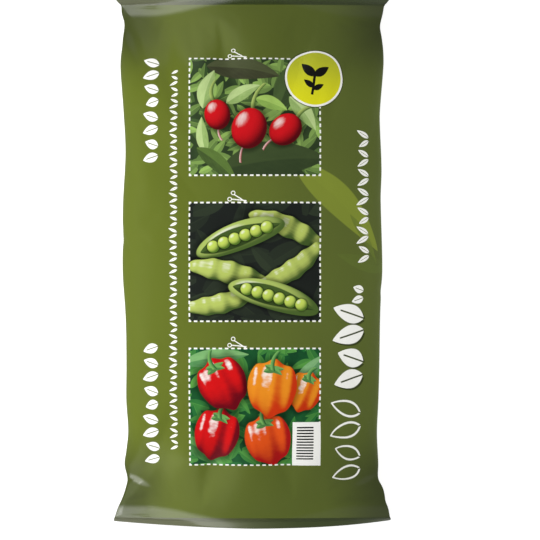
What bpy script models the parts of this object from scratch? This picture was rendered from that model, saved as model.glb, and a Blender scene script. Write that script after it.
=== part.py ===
"""Compost bag: a tube of printed film, filled, sealed straight across at both ends and lying on its back.

One sealed piece of film with its fill, so it is one solid. Metres, +Z up. The printed face looks up
and the top of the print points along +Y. The origin is under the middle of the bag, on the ground.

The bag starts as the two films laid flat, one on the other. Each point is then moved to where the
fill holds it: the front film domes, the back film flattens on the ground, the sides draw in and the
two welded ends stay flat and as wide as the film.
"""

import math

import bmesh
import bpy

# Driving dimensions

FLAT_WIDTH = 0.490  # the film tube laid flat, which is also the width of both end seals
OVERALL_LENGTH = 0.950  # filled, from one cut edge to the other
FILLED_THICKNESS = 0.130  # the middle of the front film above the ground
TOP_FIN_LENGTH = 0.025  # film beyond the top seal
BOTTOM_FIN_LENGTH = 0.021  # film beyond the bottom seal
FIN_THICKNESS = 0.0008  # two films with the crimp that welds them

SIDE_HEIGHT = 0.056  # the widest line of the body above the ground
SEAL_HEIGHT = 0.046  # the middle of each end seal above the ground
CORNER_DROOP = 0.014  # how much lower the corners of a seal hang
END_RUN = 0.190  # from a seal to where the body has its full thickness
WING_RUN = 0.120  # from a seal to where the sides lose their flat wings
LEFT_EAR_LIFT = 0.018  # how far the left wings' outer edges turn up
RIGHT_EAR_LIFT = 0.004  # the same on the right
EAR_PLACE = 0.058  # how far from a seal they turn up most
EAR_REACH = 0.042  # how far that spreads along the side
EAR_SHARPNESS = 4.5  # how near to the edge it stays

FIN_DROOP = math.radians(22)  # the fin's slope below level at its middle
TOP_CORNER_CURL = math.radians(60)  # the same at its corners, which curl down
BOTTOM_CORNER_CURL = math.radians(80)
CURL_SPREAD = 1.2  # how evenly the slope grows from the middle to the corners: 1 is even

FRONT_FLATNESS = 2.3  # how square the front's section is: 2 is half an ellipse
BACK_FLATNESS = 3.4  # the same for the back, which the ground flattens
BASE_PRESS = 0.010  # how far the ground presses the back film up
END_ROUNDNESS = 2.4  # how soon the body reaches its full thickness beyond a seal
WING_SHARPNESS = 2.0  # how thin the sides are at a seal, where they lie flat as wings
SLACK_FLATNESS = 6  # how near to the sides the gathers and the unevenness reach
GATHER_SPREAD = 0.25  # how far the gathers lean together on their way from the seal

# How far the fill draws each side in from the flat width, from the bottom seal to the top seal.
# Each pair is a place, as a share of the way from seal to seal, and a distance.
LEFT_DRAW_IN = (
    (0.00, 0.000),
    (0.032, 0.0165),
    (0.054, 0.0235),
    (0.0755, 0.0270),
    (0.105, 0.0220),
    (0.170, 0.0285),
    (0.300, 0.0255),
    (0.385, 0.0235),
    (0.480, 0.0175),
    (0.620, 0.0180),
    (0.710, 0.0230),
    (0.790, 0.0195),
    (0.890, 0.0155),
    (0.940, 0.0185),
    (0.965, 0.0205),
    (0.983, 0.0155),
    (1.00, 0.0148),
)
RIGHT_DRAW_IN = (
    (0.00, 0.000),
    (0.032, 0.0105),
    (0.0575, 0.0170),
    (0.080, 0.0265),
    (0.108, 0.0260),
    (0.165, 0.0300),
    (0.300, 0.0245),
    (0.400, 0.0200),
    (0.500, 0.0185),
    (0.620, 0.0195),
    (0.760, 0.0225),
    (0.870, 0.0155),
    (0.937, 0.0195),
    (0.962, 0.0205),
    (0.985, 0.0140),
    (1.00, 0.0143),
)

# Gathers that run from each seal into the body: place across as a share of the half width, height,
# width and how far from the seal they are deepest. A height below zero is a valley.
TOP_GATHERS = (
    (-0.72, -0.0065, 0.020, 0.055),
    (-0.45, 0.0040, 0.024, 0.050),
    (-0.22, -0.0045, 0.018, 0.045),
    (0.06, 0.0035, 0.026, 0.050),
    (0.34, -0.0050, 0.019, 0.050),
    (0.55, 0.0040, 0.022, 0.045),
    (0.76, -0.0065, 0.020, 0.055),
)
BOTTOM_GATHERS = (
    (-0.78, -0.0070, 0.021, 0.060),
    (-0.52, 0.0045, 0.022, 0.045),
    (-0.30, -0.0045, 0.018, 0.050),
    (-0.02, 0.0035, 0.026, 0.050),
    (0.25, -0.0050, 0.020, 0.045),
    (0.48, 0.0040, 0.021, 0.050),
    (0.74, -0.0070, 0.020, 0.060),
)

# Folds that run from the pinched sides into the wings: place across as a share of the half width,
# distance from the seal, slope in degrees towards the seal, length, height and width.
TOP_FOLDS = (
    (-0.78, 0.046, 30, 0.040, 0.0040, 0.011),
    (0.80, 0.044, 34, 0.038, 0.0040, 0.011),
)
BOTTOM_FOLDS = (
    (-0.80, 0.062, 28, 0.042, 0.0050, 0.011),
    (0.82, 0.064, 32, 0.038, 0.0040, 0.011),
)

# Soft unevenness of the fill: height, cycles across, cycles along and a turn of the wave
LUMPS = (
    (0.0026, 1.5, 2.5, 0.4),
    (0.0018, 2.5, 4.0, 2.1),
    (0.0012, 4.0, 7.0, 4.4),
)

COLUMNS = 42
BODY_ROWS = 56
FIN_ROWS = 3
ROW_CROWDING = 0.55  # how much closer the rows lie at the seals: 0 is even

FILM_GREEN = (0.150, 0.200, 0.040, 1.0)
FILM_ROUGHNESS = 0.38

# Worked out from them

HALF_WIDTH = FLAT_WIDTH / 2
TOP_EDGE = OVERALL_LENGTH / 2
BOTTOM_EDGE = -OVERALL_LENGTH / 2
TOP_SEAL = TOP_EDGE - TOP_FIN_LENGTH * math.cos(FIN_DROOP)
BOTTOM_SEAL = BOTTOM_EDGE + BOTTOM_FIN_LENGTH * math.cos(FIN_DROOP)
BODY_LENGTH = TOP_SEAL - BOTTOM_SEAL


def clear_scene():
    """Removes what the scene holds."""
    for obj in list(bpy.data.objects):
        bpy.data.objects.remove(obj)


def smooth_through(points, place):
    """The value at place of a smooth curve through points, which are (place, value) in order."""
    last = len(points) - 1
    after = next((i for i in range(1, last) if points[i][0] >= place), last)
    before = after - 1
    (x0, y0), (x1, y1) = points[before], points[after]
    span = x1 - x0
    t = min(max((place - x0) / span, 0.0), 1.0)

    def slope(i):
        low, high = points[max(i - 1, 0)], points[min(i + 1, last)]
        return (high[1] - low[1]) / (high[0] - low[0])

    rise0, rise1 = slope(before) * span, slope(after) * span
    return (
        (2 * t**3 - 3 * t**2 + 1) * y0
        + (t**3 - 2 * t**2 + t) * rise0
        + (3 * t**2 - 2 * t**3) * y1
        + (t**3 - t**2) * rise1
    )


def ease(share):
    """0 to 1 with a level start and end."""
    share = min(max(share, 0.0), 1.0)
    return share * share * (3 - 2 * share)


def from_nearest_seal(y):
    """How far a place along the body is from the seal that is nearest."""
    return max(min(y - BOTTOM_SEAL, TOP_SEAL - y), 0.0)


def side_edge(side, y):
    """Where the left (-1) or right (1) edge of the body lies, from the centreline."""
    share = (y - BOTTOM_SEAL) / BODY_LENGTH
    drawn = smooth_through(LEFT_DRAW_IN if side < 0 else RIGHT_DRAW_IN, share)
    return side * (HALF_WIDTH - max(drawn, 0.0))


def fullness(distance):
    """The body's share of its full thickness at a distance from a seal."""
    left = 1 - min(distance / END_RUN, 1.0)
    return 1 - left**END_ROUNDNESS


def across(u, distance, exponent):
    """The share of the middle's height at u, from -1 to 1 across: winged at a seal, rounded beyond."""
    rounded = math.sqrt(max(1 - abs(u) ** exponent, 0.0))
    winged = max(math.cos(u * math.pi / 2), 0.0) ** WING_SHARPNESS
    share = ease(distance / WING_RUN)
    return winged + (rounded - winged) * share


def seal_height(u):
    """A seal arches a little: its corners hang lower."""
    return SEAL_HEIGHT - CORNER_DROOP * u * u


def side_height(u, distance):
    """The height at which the two films meet at the side, which leaves the seal's height."""
    share = ease(distance / END_RUN)
    turned_up = math.exp(-(((distance - EAR_PLACE) / EAR_REACH) ** 2)) * min(distance / EAR_PLACE, 1.0)
    ear = (LEFT_EAR_LIFT if u < 0 else RIGHT_EAR_LIFT) * abs(u) ** EAR_SHARPNESS * turned_up
    return seal_height(u) * (1 - share) + SIDE_HEIGHT * share + ear


def gathered(x, y):
    """How far the gathers at the ends lift or sink the front film."""
    lift = 0.0
    for seal, gathers in ((TOP_SEAL, TOP_GATHERS), (BOTTOM_SEAL, BOTTOM_GATHERS)):
        distance = abs(seal - y)
        for place, height, width, reach in gathers:
            spread = 1 - GATHER_SPREAD * min(distance / END_RUN, 1.0)
            offset = (x - place * HALF_WIDTH * spread) / (width * (1 + distance / END_RUN))
            along = distance / reach * math.exp(1 - distance / reach)
            lift += height * along * math.exp(-offset * offset)
    return lift


def folded(x, y):
    """How far the folds in the wings lift the front film."""
    lift = 0.0
    for seal, folds in ((TOP_SEAL, TOP_FOLDS), (BOTTOM_SEAL, BOTTOM_FOLDS)):
        distance = abs(seal - y)
        for place, from_seal, degrees, length, height, width in folds:
            slope = math.radians(degrees)
            inward = (place * HALF_WIDTH - x) * math.copysign(1, place)
            nearer = from_seal - distance
            along = inward * math.cos(slope) + nearer * math.sin(slope)
            off = nearer * math.cos(slope) - inward * math.sin(slope)
            lift += height * math.exp(-((along / length) ** 2) - (off / width) ** 2)
    return lift


def lumpy(x, y):
    """The soft unevenness of the fill under the film."""
    lift = 0.0
    for height, cycles_across, cycles_along, turn in LUMPS:
        wave = math.sin(2 * math.pi * cycles_across * x / FLAT_WIDTH + turn)
        lift += height * wave * math.sin(2 * math.pi * cycles_along * y / OVERALL_LENGTH - turn)
    return lift


def front_point(u, y):
    """A point of the front film, at u from -1 to 1 across and y along."""
    distance = from_nearest_seal(y)
    x = u * abs(side_edge(1 if u > 0 else -1, y))
    meet = side_height(u, distance)
    dome = across(u, distance, FRONT_FLATNESS) * fullness(distance)
    slack = (1 - abs(u) ** SLACK_FLATNESS) * min(distance / WING_RUN, 1.0)
    lift = (gathered(x, y) + folded(x, y) + lumpy(x, y)) * slack
    return x, y, meet + FIN_THICKNESS / 2 + (FILLED_THICKNESS - SIDE_HEIGHT) * dome + lift


def back_point(u, y):
    """A point of the back film, which the ground flattens."""
    distance = from_nearest_seal(y)
    x = u * abs(side_edge(1 if u > 0 else -1, y))
    meet = side_height(u, distance)
    belly = across(u, distance, BACK_FLATNESS) * fullness(distance)
    return x, y, max(meet - FIN_THICKNESS / 2 - (SIDE_HEIGHT + BASE_PRESS) * belly, 0.0)


def fin_point(u, sheet, end, beyond, length):
    """A point of a fin, beyond a seal, on the front (1) or back (-1) film. end is 1 for the top.

    A fin widens to the flat width at its cut edge.
    """
    curl = TOP_CORNER_CURL if end > 0 else BOTTOM_CORNER_CURL
    angle = FIN_DROOP + (curl - FIN_DROOP) * abs(u) ** CURL_SPREAD
    seal = TOP_SEAL if end > 0 else BOTTOM_SEAL
    half = FIN_THICKNESS / 2 * sheet
    out = beyond * length
    edge = abs(side_edge(1 if u > 0 else -1, seal))
    x = u * (edge + (HALF_WIDTH - edge) * beyond)
    y = seal + end * (out * math.cos(angle) + half * math.sin(angle) * beyond)
    z = seal_height(u) - out * math.sin(angle) + half * (1 - beyond + beyond * math.cos(angle))
    return x, y, z


def film_point(u, sheet, row):
    """Where a point of the flat films goes. row counts from the bottom cut edge."""
    if row < FIN_ROWS:
        return fin_point(u, sheet, -1, 1 - row / FIN_ROWS, BOTTOM_FIN_LENGTH)
    if row > FIN_ROWS + BODY_ROWS:
        beyond = (row - FIN_ROWS - BODY_ROWS) / FIN_ROWS
        return fin_point(u, sheet, 1, beyond, TOP_FIN_LENGTH)
    share = (row - FIN_ROWS) / BODY_ROWS
    crowded = share - ROW_CROWDING * math.sin(2 * math.pi * share) / (2 * math.pi)
    y = BOTTOM_SEAL + BODY_LENGTH * crowded
    return front_point(u, y) if sheet > 0 else back_point(u, y)


def build_bag(collection):
    """Makes the filled bag from the two films laid flat."""
    rows = BODY_ROWS + 2 * FIN_ROWS
    bm = bmesh.new()
    bmesh.ops.create_grid(bm, x_segments=COLUMNS, y_segments=rows, size=1.0)
    bmesh.ops.solidify(bm, geom=bm.faces[:], thickness=0.5)
    middle = sum(v.co.z for v in bm.verts) / len(bm.verts)
    for v in bm.verts:
        u = math.sin(v.co.x * math.pi / 2)
        row = round((v.co.y + 1) / 2 * rows)
        v.co = film_point(u, 1 if v.co.z > middle else -1, row)
    bmesh.ops.recalc_face_normals(bm, faces=bm.faces[:])

    mesh = bpy.data.meshes.new("filled_bag")
    bm.to_mesh(mesh)
    bm.free()
    mesh.shade_smooth()
    bag = bpy.data.objects.new("filled_bag", mesh)
    collection.objects.link(bag)
    return bag


def printed_film():
    """The olive green film with its satin surface."""
    material = bpy.data.materials.new("printed_film")
    material.use_nodes = True
    shader = material.node_tree.nodes["Principled BSDF"]
    shader.inputs["Base Color"].default_value = FILM_GREEN
    shader.inputs["Roughness"].default_value = FILM_ROUGHNESS
    shader.inputs["Metallic"].default_value = 0.0
    return material


def main():
    """Builds the compost bag."""
    clear_scene()
    collection = bpy.data.collections.new("compost_bag")
    bpy.context.scene.collection.children.link(collection)
    bag = build_bag(collection)
    bag.data.materials.append(printed_film())


main()
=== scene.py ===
"""The looks of a filled compost bag: a tube of printed olive green film, sealed at both ends.

The film is one mesh, made from the two films laid flat and moved to where the fill holds them. A
cloth simulation then lets the slack film buckle over the fill. The print is drawn by node groups in
the film's own flat coordinates.
"""

import logging
import math
from collections.abc import Iterator
from dataclasses import dataclass
from enum import Enum
from functools import reduce

import bmesh
import bpy
import numpy as np
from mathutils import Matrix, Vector


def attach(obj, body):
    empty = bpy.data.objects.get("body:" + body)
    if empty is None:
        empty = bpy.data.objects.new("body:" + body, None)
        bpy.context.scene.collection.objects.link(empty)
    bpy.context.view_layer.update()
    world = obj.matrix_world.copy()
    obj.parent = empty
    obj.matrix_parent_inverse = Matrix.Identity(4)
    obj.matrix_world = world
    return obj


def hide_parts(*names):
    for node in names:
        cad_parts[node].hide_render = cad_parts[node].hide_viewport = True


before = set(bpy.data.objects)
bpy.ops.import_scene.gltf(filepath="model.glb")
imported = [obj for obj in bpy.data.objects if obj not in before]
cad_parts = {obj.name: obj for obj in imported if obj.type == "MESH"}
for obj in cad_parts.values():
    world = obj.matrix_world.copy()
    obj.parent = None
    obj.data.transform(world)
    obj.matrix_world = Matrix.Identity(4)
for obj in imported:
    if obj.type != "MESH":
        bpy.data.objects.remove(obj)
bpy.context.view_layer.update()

log = logging.getLogger("compost_bag")

BAG_NODE = "filled_bag"

# The whole numbers that each point of the film carries
NUMBERS = ("row", "column", "film")

Pair = tuple[float, float]
Triple = tuple[float, float, float]
Table = tuple[tuple[float, ...], ...]
Colour = tuple[float, float, float, float]
Wire = bpy.types.NodeSocket
Feed = float | tuple | Wire


class Film(Enum):
    """Which of the two films a point is on."""

    FRONT = 1
    BACK = -1


def smooth_through(points: Table, place: np.ndarray) -> np.ndarray:
    """Reads a smooth curve at many places.

    Args:
        points: (place, value) pairs in order.
        place: where to read it.

    Returns:
        The values there.
    """
    xs, ys = np.array(points).T
    slopes = np.empty_like(ys)
    slopes[1:-1] = (ys[2:] - ys[:-2]) / (xs[2:] - xs[:-2])
    slopes[0] = (ys[1] - ys[0]) / (xs[1] - xs[0])
    slopes[-1] = (ys[-1] - ys[-2]) / (xs[-1] - xs[-2])
    before = np.clip(np.searchsorted(xs, place) - 1, 0, len(xs) - 2)
    span = xs[before + 1] - xs[before]
    t = np.clip((place - xs[before]) / span, 0.0, 1.0)
    return (
        (2 * t**3 - 3 * t**2 + 1) * ys[before]
        + (t**3 - 2 * t**2 + t) * slopes[before] * span
        + (3 * t**2 - 2 * t**3) * ys[before + 1]
        + (t**3 - t**2) * slopes[before + 1] * span
    )


def ease(share: np.ndarray) -> np.ndarray:
    """Goes from 0 to 1 with a level start and end."""
    share = np.clip(share, 0.0, 1.0)
    return share * share * (3 - 2 * share)


@dataclass(frozen=True)
class FilledForm:
    """Where the fill holds each point of the two films. The sizes are the model's own, in metres."""

    flat_width: float = 0.490
    overall_length: float = 0.950
    filled_thickness: float = 0.130
    top_fin: float = 0.028
    bottom_fin: float = 0.021
    fin_thickness: float = 0.0008
    side_height: float = 0.056
    seal_height: float = 0.046
    corner_droop: float = 0.014
    end_run: float = 0.190
    wing_run: float = 0.120
    left_ear_lift: float = 0.018
    right_ear_lift: float = 0.004
    ear_place: float = 0.058
    ear_reach: float = 0.042
    ear_sharpness: float = 4.5
    fin_droop: float = math.radians(22)
    # A corner's curl and how it spreads to the middle, where 1 is evenly
    top_curl: Pair = (math.radians(60), 1.2)
    bottom_left_curl: Pair = (math.radians(70), 1.15)
    bottom_right_curl: Pair = (math.radians(75), 1.8)
    front_flatness: float = 2.3
    back_flatness: float = 3.4
    base_press: float = 0.010
    end_roundness: float = 2.4
    wing_sharpness: float = 2.0
    slack_flatness: float = 6.0
    gather_spread: float = 0.25
    # How far the fill draws each side in: a share of the way from the bottom seal to the top one, and
    # a distance
    left_draw_in: Table = (
        (0.000, 0.0000), (0.020, 0.0064), (0.032, 0.0119), (0.045, 0.0170), (0.060, 0.0217),
        (0.076, 0.0251), (0.105, 0.0205), (0.130, 0.0236), (0.170, 0.0270), (0.230, 0.0235),
        (0.300, 0.0231), (0.385, 0.0215), (0.480, 0.0164), (0.550, 0.0162), (0.620, 0.0172),
        (0.710, 0.0211), (0.790, 0.0181), (0.870, 0.0133), (0.890, 0.0130), (0.915, 0.0145),
        (0.940, 0.0163), (0.965, 0.0181), (0.985, 0.0129), (1.000, 0.0125),
    )
    right_draw_in: Table = (
        (0.000, 0.0000), (0.020, 0.0037), (0.032, 0.0085), (0.045, 0.0101), (0.060, 0.0142),
        (0.076, 0.0225), (0.105, 0.0231), (0.165, 0.0257), (0.230, 0.0231), (0.300, 0.0210),
        (0.400, 0.0190), (0.480, 0.0157), (0.620, 0.0180), (0.680, 0.0170), (0.760, 0.0197),
        (0.790, 0.0199), (0.870, 0.0145), (0.890, 0.0135), (0.915, 0.0138), (0.940, 0.0157),
        (0.960, 0.0181), (0.985, 0.0128), (1.000, 0.0105),
    )
    # Gathers: place across in half widths, height, width and how far from the seal they are deepest
    top_gathers: Table = (
        (-0.72, -0.0065, 0.020, 0.055),
        (-0.45, 0.0040, 0.024, 0.050),
        (-0.22, -0.0045, 0.018, 0.045),
        (0.06, 0.0035, 0.026, 0.050),
        (0.34, -0.0050, 0.019, 0.050),
        (0.55, 0.0040, 0.022, 0.045),
        (0.76, -0.0065, 0.020, 0.055),
    )
    bottom_gathers: Table = (
        (-0.78, -0.0070, 0.021, 0.060),
        (-0.52, 0.0045, 0.022, 0.045),
        (-0.30, -0.0045, 0.018, 0.050),
        (-0.02, 0.0035, 0.026, 0.050),
        (0.25, -0.0050, 0.020, 0.045),
        (0.48, 0.0040, 0.021, 0.050),
        (0.74, -0.0070, 0.020, 0.060),
    )
    # Folds in the wings: place across in half widths, distance from the seal, slope in degrees towards
    # the seal, length, height and width
    top_folds: Table = (
        (-0.78, 0.046, 30, 0.040, 0.0040, 0.011),
        (0.80, 0.044, 34, 0.038, 0.0040, 0.011),
    )
    bottom_folds: Table = (
        (-0.80, 0.062, 28, 0.042, 0.0050, 0.011),
        (0.82, 0.064, 32, 0.038, 0.0040, 0.011),
    )
    # The fill's unevenness: height, waves across, waves along and a turn of the wave
    lumps: Table = (
        (0.0026, 1.5, 2.5, 0.4),
        (0.0018, 2.5, 4.0, 2.1),
        (0.0012, 4.0, 7.0, 4.4),
    )

    @property
    def half_width(self) -> float:
        """Half the flat width."""
        return self.flat_width / 2

    @property
    def top_seal(self) -> float:
        """Where the top seal lies along the bag."""
        return self.overall_length / 2 - self.top_fin * math.cos(self.fin_droop)

    @property
    def bottom_seal(self) -> float:
        """Where the bottom seal lies along the bag."""
        return -self.overall_length / 2 + self.bottom_fin * math.cos(self.fin_droop)

    def side_edge(self, u: np.ndarray, y: np.ndarray) -> np.ndarray:
        """Finds the body's edge on the side that u is on.

        Args:
            u: from -1 to 1 across.
            y: along the bag.

        Returns:
            How far the edge is from the centreline.
        """
        share = (y - self.bottom_seal) / (self.top_seal - self.bottom_seal)
        left, right = (smooth_through(t, share) for t in (self.left_draw_in, self.right_draw_in))
        return self.half_width - np.maximum(np.where(u > 0, right, left), 0.0)

    def from_nearest_seal(self, y: np.ndarray) -> np.ndarray:
        """How far a place along the body is from the seal that is nearest."""
        return np.maximum(np.minimum(y - self.bottom_seal, self.top_seal - y), 0.0)

    def fullness(self, distance: np.ndarray) -> np.ndarray:
        """The body's share of its full thickness at a distance from a seal."""
        return 1 - (1 - np.minimum(distance / self.end_run, 1.0)) ** self.end_roundness

    def across(self, u: np.ndarray, distance: np.ndarray, exponent: float) -> np.ndarray:
        """Finds the share of the middle's height across the body: winged at a seal, rounded beyond.

        Args:
            u: from -1 to 1 across.
            distance: how far from the seal.
            exponent: how square the rounded section is, where 2 is half an ellipse.

        Returns:
            The share.
        """
        rounded = np.sqrt(np.maximum(1 - np.abs(u) ** exponent, 0.0))
        winged = np.maximum(np.cos(u * math.pi / 2), 0.0) ** self.wing_sharpness
        return winged + (rounded - winged) * ease(distance / self.wing_run)

    def seal_line(self, u: np.ndarray) -> np.ndarray:
        """The height of a seal, whose corners hang lower."""
        return self.seal_height - self.corner_droop * u * u

    def side_line(self, u: np.ndarray, distance: np.ndarray) -> np.ndarray:
        """Finds the height at which the two films meet at the side.

        Args:
            u: from -1 to 1 across.
            distance: how far from the seal.

        Returns:
            The height.
        """
        share = ease(distance / self.end_run)
        turned_up = np.exp(-(((distance - self.ear_place) / self.ear_reach) ** 2))
        turned_up = turned_up * np.minimum(distance / self.ear_place, 1.0)
        lift = np.where(u < 0, self.left_ear_lift, self.right_ear_lift)
        ear = lift * np.abs(u) ** self.ear_sharpness * turned_up
        return self.seal_line(u) * (1 - share) + self.side_height * share + ear

    def at_ends(self, y: np.ndarray, top: Table, bottom: Table) -> Iterator[tuple]:
        """Goes through what lies at both ends.

        Args:
            y: along the bag.
            top: the rows of a table for the top end.
            bottom: the rows for the bottom end.

        Yields:
            How far y is from the end's seal, and the row.
        """
        for seal, rows in ((self.top_seal, top), (self.bottom_seal, bottom)):
            for row in rows:
                yield np.abs(seal - y), row

    def gathered(self, x: np.ndarray, y: np.ndarray) -> np.ndarray:
        """Finds how far the gathers at the ends lift or sink the front film.

        Args:
            x: across the bag.
            y: along it.

        Returns:
            The lift.
        """
        lift = np.zeros_like(x)
        for distance, gather in self.at_ends(y, self.top_gathers, self.bottom_gathers):
            place, height, width, reach = gather
            spread = 1 - self.gather_spread * np.minimum(distance / self.end_run, 1.0)
            wider = width * (1 + distance / self.end_run)
            offset = (x - place * self.half_width * spread) / wider
            along = distance / reach * np.exp(1 - distance / reach)
            lift += height * along * np.exp(-offset * offset)
        return lift

    def folded(self, x: np.ndarray, y: np.ndarray) -> np.ndarray:
        """Finds how far the folds in the wings lift the front film.

        Args:
            x: across the bag.
            y: along it.

        Returns:
            The lift.
        """
        lift = np.zeros_like(x)
        for distance, fold in self.at_ends(y, self.top_folds, self.bottom_folds):
            place, from_seal, degrees, length, height, width = fold
            slope = math.radians(degrees)
            inward = (place * self.half_width - x) * math.copysign(1, place)
            nearer = from_seal - distance
            along = inward * math.cos(slope) + nearer * math.sin(slope)
            off = nearer * math.cos(slope) - inward * math.sin(slope)
            lift += height * np.exp(-((along / length) ** 2) - (off / width) ** 2)
        return lift

    def lumpy(self, x: np.ndarray, y: np.ndarray) -> np.ndarray:
        """Finds how far the soft unevenness of the fill lifts the front film.

        Args:
            x: across the bag.
            y: along it.

        Returns:
            The lift.
        """
        lift = np.zeros_like(x)
        for height, waves_across, waves_along, turn in self.lumps:
            wave = np.sin(2 * math.pi * waves_across * x / self.flat_width + turn)
            along = np.sin(2 * math.pi * waves_along * y / self.overall_length - turn)
            lift += height * wave * along
        return lift

    def body(self, u: np.ndarray, y: np.ndarray, film: Film) -> np.ndarray:
        """Places points of the body.

        Args:
            u: from -1 to 1 across.
            y: along the bag.
            film: which film they are on.

        Returns:
            Their places, one row each.
        """
        distance = self.from_nearest_seal(y)
        x = u * self.side_edge(u, y)
        meet = self.side_line(u, distance)
        if film is Film.FRONT:
            dome = self.across(u, distance, self.front_flatness) * self.fullness(distance)
            slack = (1 - np.abs(u) ** self.slack_flatness) * np.minimum(
                distance / self.wing_run, 1.0
            )
            lift = (self.gathered(x, y) + self.folded(x, y) + self.lumpy(x, y)) * slack
            z = meet + (self.filled_thickness - self.side_height) * dome + lift
        else:
            belly = self.across(u, distance, self.back_flatness) * self.fullness(distance)
            z = np.maximum(meet - (self.side_height + self.base_press) * belly, 0.0)
        return np.stack([x, y, z], axis=-1)

    def fin(self, u: np.ndarray, end: int, out: np.ndarray, film: Film) -> np.ndarray:
        """Places points of a fin, beyond a seal.

        Args:
            u: from -1 to 1 across.
            end: 1 for the top, -1 for the bottom.
            out: how far beyond the seal they are.
            film: which film they are on.

        Returns:
            Their places, one row each.
        """
        left = self.top_curl if end > 0 else self.bottom_left_curl
        right = self.top_curl if end > 0 else self.bottom_right_curl
        curl, spread = (np.where(u < 0, *pair) for pair in zip(left, right))
        angle = self.fin_droop + (curl - self.fin_droop) * np.abs(u) ** spread
        seal = self.top_seal if end > 0 else self.bottom_seal
        beyond = out / (self.top_fin if end > 0 else self.bottom_fin)
        edge = self.side_edge(u, np.full_like(u, seal))
        half = self.fin_thickness / 2 * film.value
        y = seal + end * (out * np.cos(angle) + half * np.sin(angle))
        z = self.seal_line(u) - out * np.sin(angle) + half * np.cos(angle)
        x = u * (edge + (self.half_width - edge) * beyond)
        return np.stack([x, y, z], axis=-1)


# Millimetres of print to a metre of film. The print is measured as it looks, and the front is nearer
# to the camera than the seals are, so it looks this much larger.
PRINT_SCALE = 1009.6

# How far a printed edge fades to each side, in millimetres
EDGE_SOFTNESS = 0.2


def ink(red: int, green: int, blue: int) -> Colour:
    """Turns a colour as a screen shows it into the share of light that the ink gives back.

    Args:
        red: from 0 to 255, as the next two.
        green: the same.
        blue: the same.

    Returns:
        The colour with full cover.
    """

    def linear(part: int) -> float:
        """Turns one part into its share of light."""
        share = part / 255
        return share / 12.92 if share <= 0.04045 else ((share + 0.055) / 1.055) ** 2.4

    return (linear(red), linear(green), linear(blue), 1.0)


WHITE = ink(252, 252, 246)
LAMP_WHITE = (1.0, 1.0, 1.0, 1.0)
BLACK = ink(22, 22, 20)


class Ink(Enum):
    """The inks on the film's faces, by material number."""

    FRONT = 0
    BACK = 1
    UPPER_PICTURE = 2
    MIDDLE_PICTURE = 3
    LOWER_PICTURE = 4


class Shape(Enum):
    """The shapes that a picture is printed from."""

    FRUIT = "fruit"
    LEAF = "leaf"
    STALK = "stalk"


@dataclass(frozen=True)
class Motif:
    """One printed shape, in millimetres from its picture's middle."""

    shape: Shape
    at: Pair
    half_size: Pair
    turn: float
    light: Colour
    deep: Colour
    bend: float = 0.0
    lobes: float = 0.0
    shine: float = 0.8


@dataclass(frozen=True)
class Picture:
    """A printed picture of vegetables among leaves."""

    centre_y: float
    leaf_light: Colour
    leaf_deep: Colour
    gap: Colour
    leaf_size: float
    motifs: tuple[Motif, ...]

    @property
    def top(self) -> float:
        """The height of its cut line's upper run."""
        return self.centre_y + FRAME.half_size[1]


@dataclass(frozen=True)
class CutFrame:
    """The dashed line to cut along, round each picture. Sizes are in millimetres."""

    centre_x: float = 4.8
    half_size: Pair = (115.8, 104.6)
    line_width: float = 2.8
    line_softness: float = 0.3
    dashes: tuple[int, int] = (21, 19)
    dash_share: float = 0.56
    dash_softness: float = 0.03


FRAME = CutFrame()


@dataclass(frozen=True)
class LeafRow:
    """A row of white leaves, in the place of a line of print. Sizes are in millimetres."""

    centre: Pair
    half_length: float
    half_height: float
    pitch: float
    lean: float = 18.0
    fatness: float = 0.36
    hollow: float = 0.0
    shadow: float = 0.0


LEAF_ROWS = (
    LeafRow((-183.8, 262.5), 98.0, 16.0, 24.5),
    LeafRow((-183.8, -259.6), 111.7, 16.0, 24.8),
    LeafRow((-141.0, -3.5), 337.5, 8.8, 10.4, lean=24.0, fatness=0.25),
    LeafRow((168.0, -325.8), 81.0, 31.5, 40.5, fatness=0.37, hollow=0.80),
    LeafRow((171.5, -156.0), 78.5, 31.5, 39.2, fatness=0.43, shadow=3.2),
    LeafRow((188.0, -64.3), 19.0, 13.0, 19.0, fatness=0.38),
    LeafRow((200.0, 108.5), 119.0, 14.5, 17.0, lean=28.0, fatness=0.28),
)


def heading(degrees: float) -> Vector:
    """Gives the unit vector that lies at an angle."""
    return Vector((math.cos(math.radians(degrees)), math.sin(math.radians(degrees))))


def radish(x: float, y: float, size: float, turn: float) -> tuple[Motif, ...]:
    """Draws a radish: a red bulb with a thin root and a stalk.

    Args:
        x: across from the picture's middle.
        y: up from it.
        size: the bulb's half width.
        turn: which way its stalk points, in degrees.

    Returns:
        The motifs, from the back.
    """
    way, middle = heading(turn), Vector((x, y))
    root, stalk = middle - way * size * 1.25, middle + way * size * 1.5
    pink, rose = ink(236, 190, 186), ink(150, 70, 70)
    return (
        Motif(Shape.STALK, tuple(root), (size * 0.6, 2.2), turn, pink, rose, 2.0),
        Motif(Shape.STALK, tuple(stalk), (size, 4.5), turn, ink(176, 196, 108), ink(70, 100, 44), 2.5),
        Motif(Shape.FRUIT, (x, y), (size * 1.08, size * 0.92), turn, ink(205, 22, 30), ink(84, 8, 16)),
    )


def pod(x: float, y: float, half_length: float, turn: float, bend: float) -> Motif:
    """Draws a pea pod with its peas bulging.

    Args:
        x: across from the picture's middle.
        y: up from it.
        half_length: half its length.
        turn: which way it lies, in degrees.
        bend: how much it curves.

    Returns:
        The motif.
    """
    light, deep = ink(182, 198, 100), ink(66, 88, 40)
    half_size = (half_length, half_length * 0.27)
    return Motif(Shape.FRUIT, (x, y), half_size, turn, light, deep, bend, lobes=4.5, shine=0.5)


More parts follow.
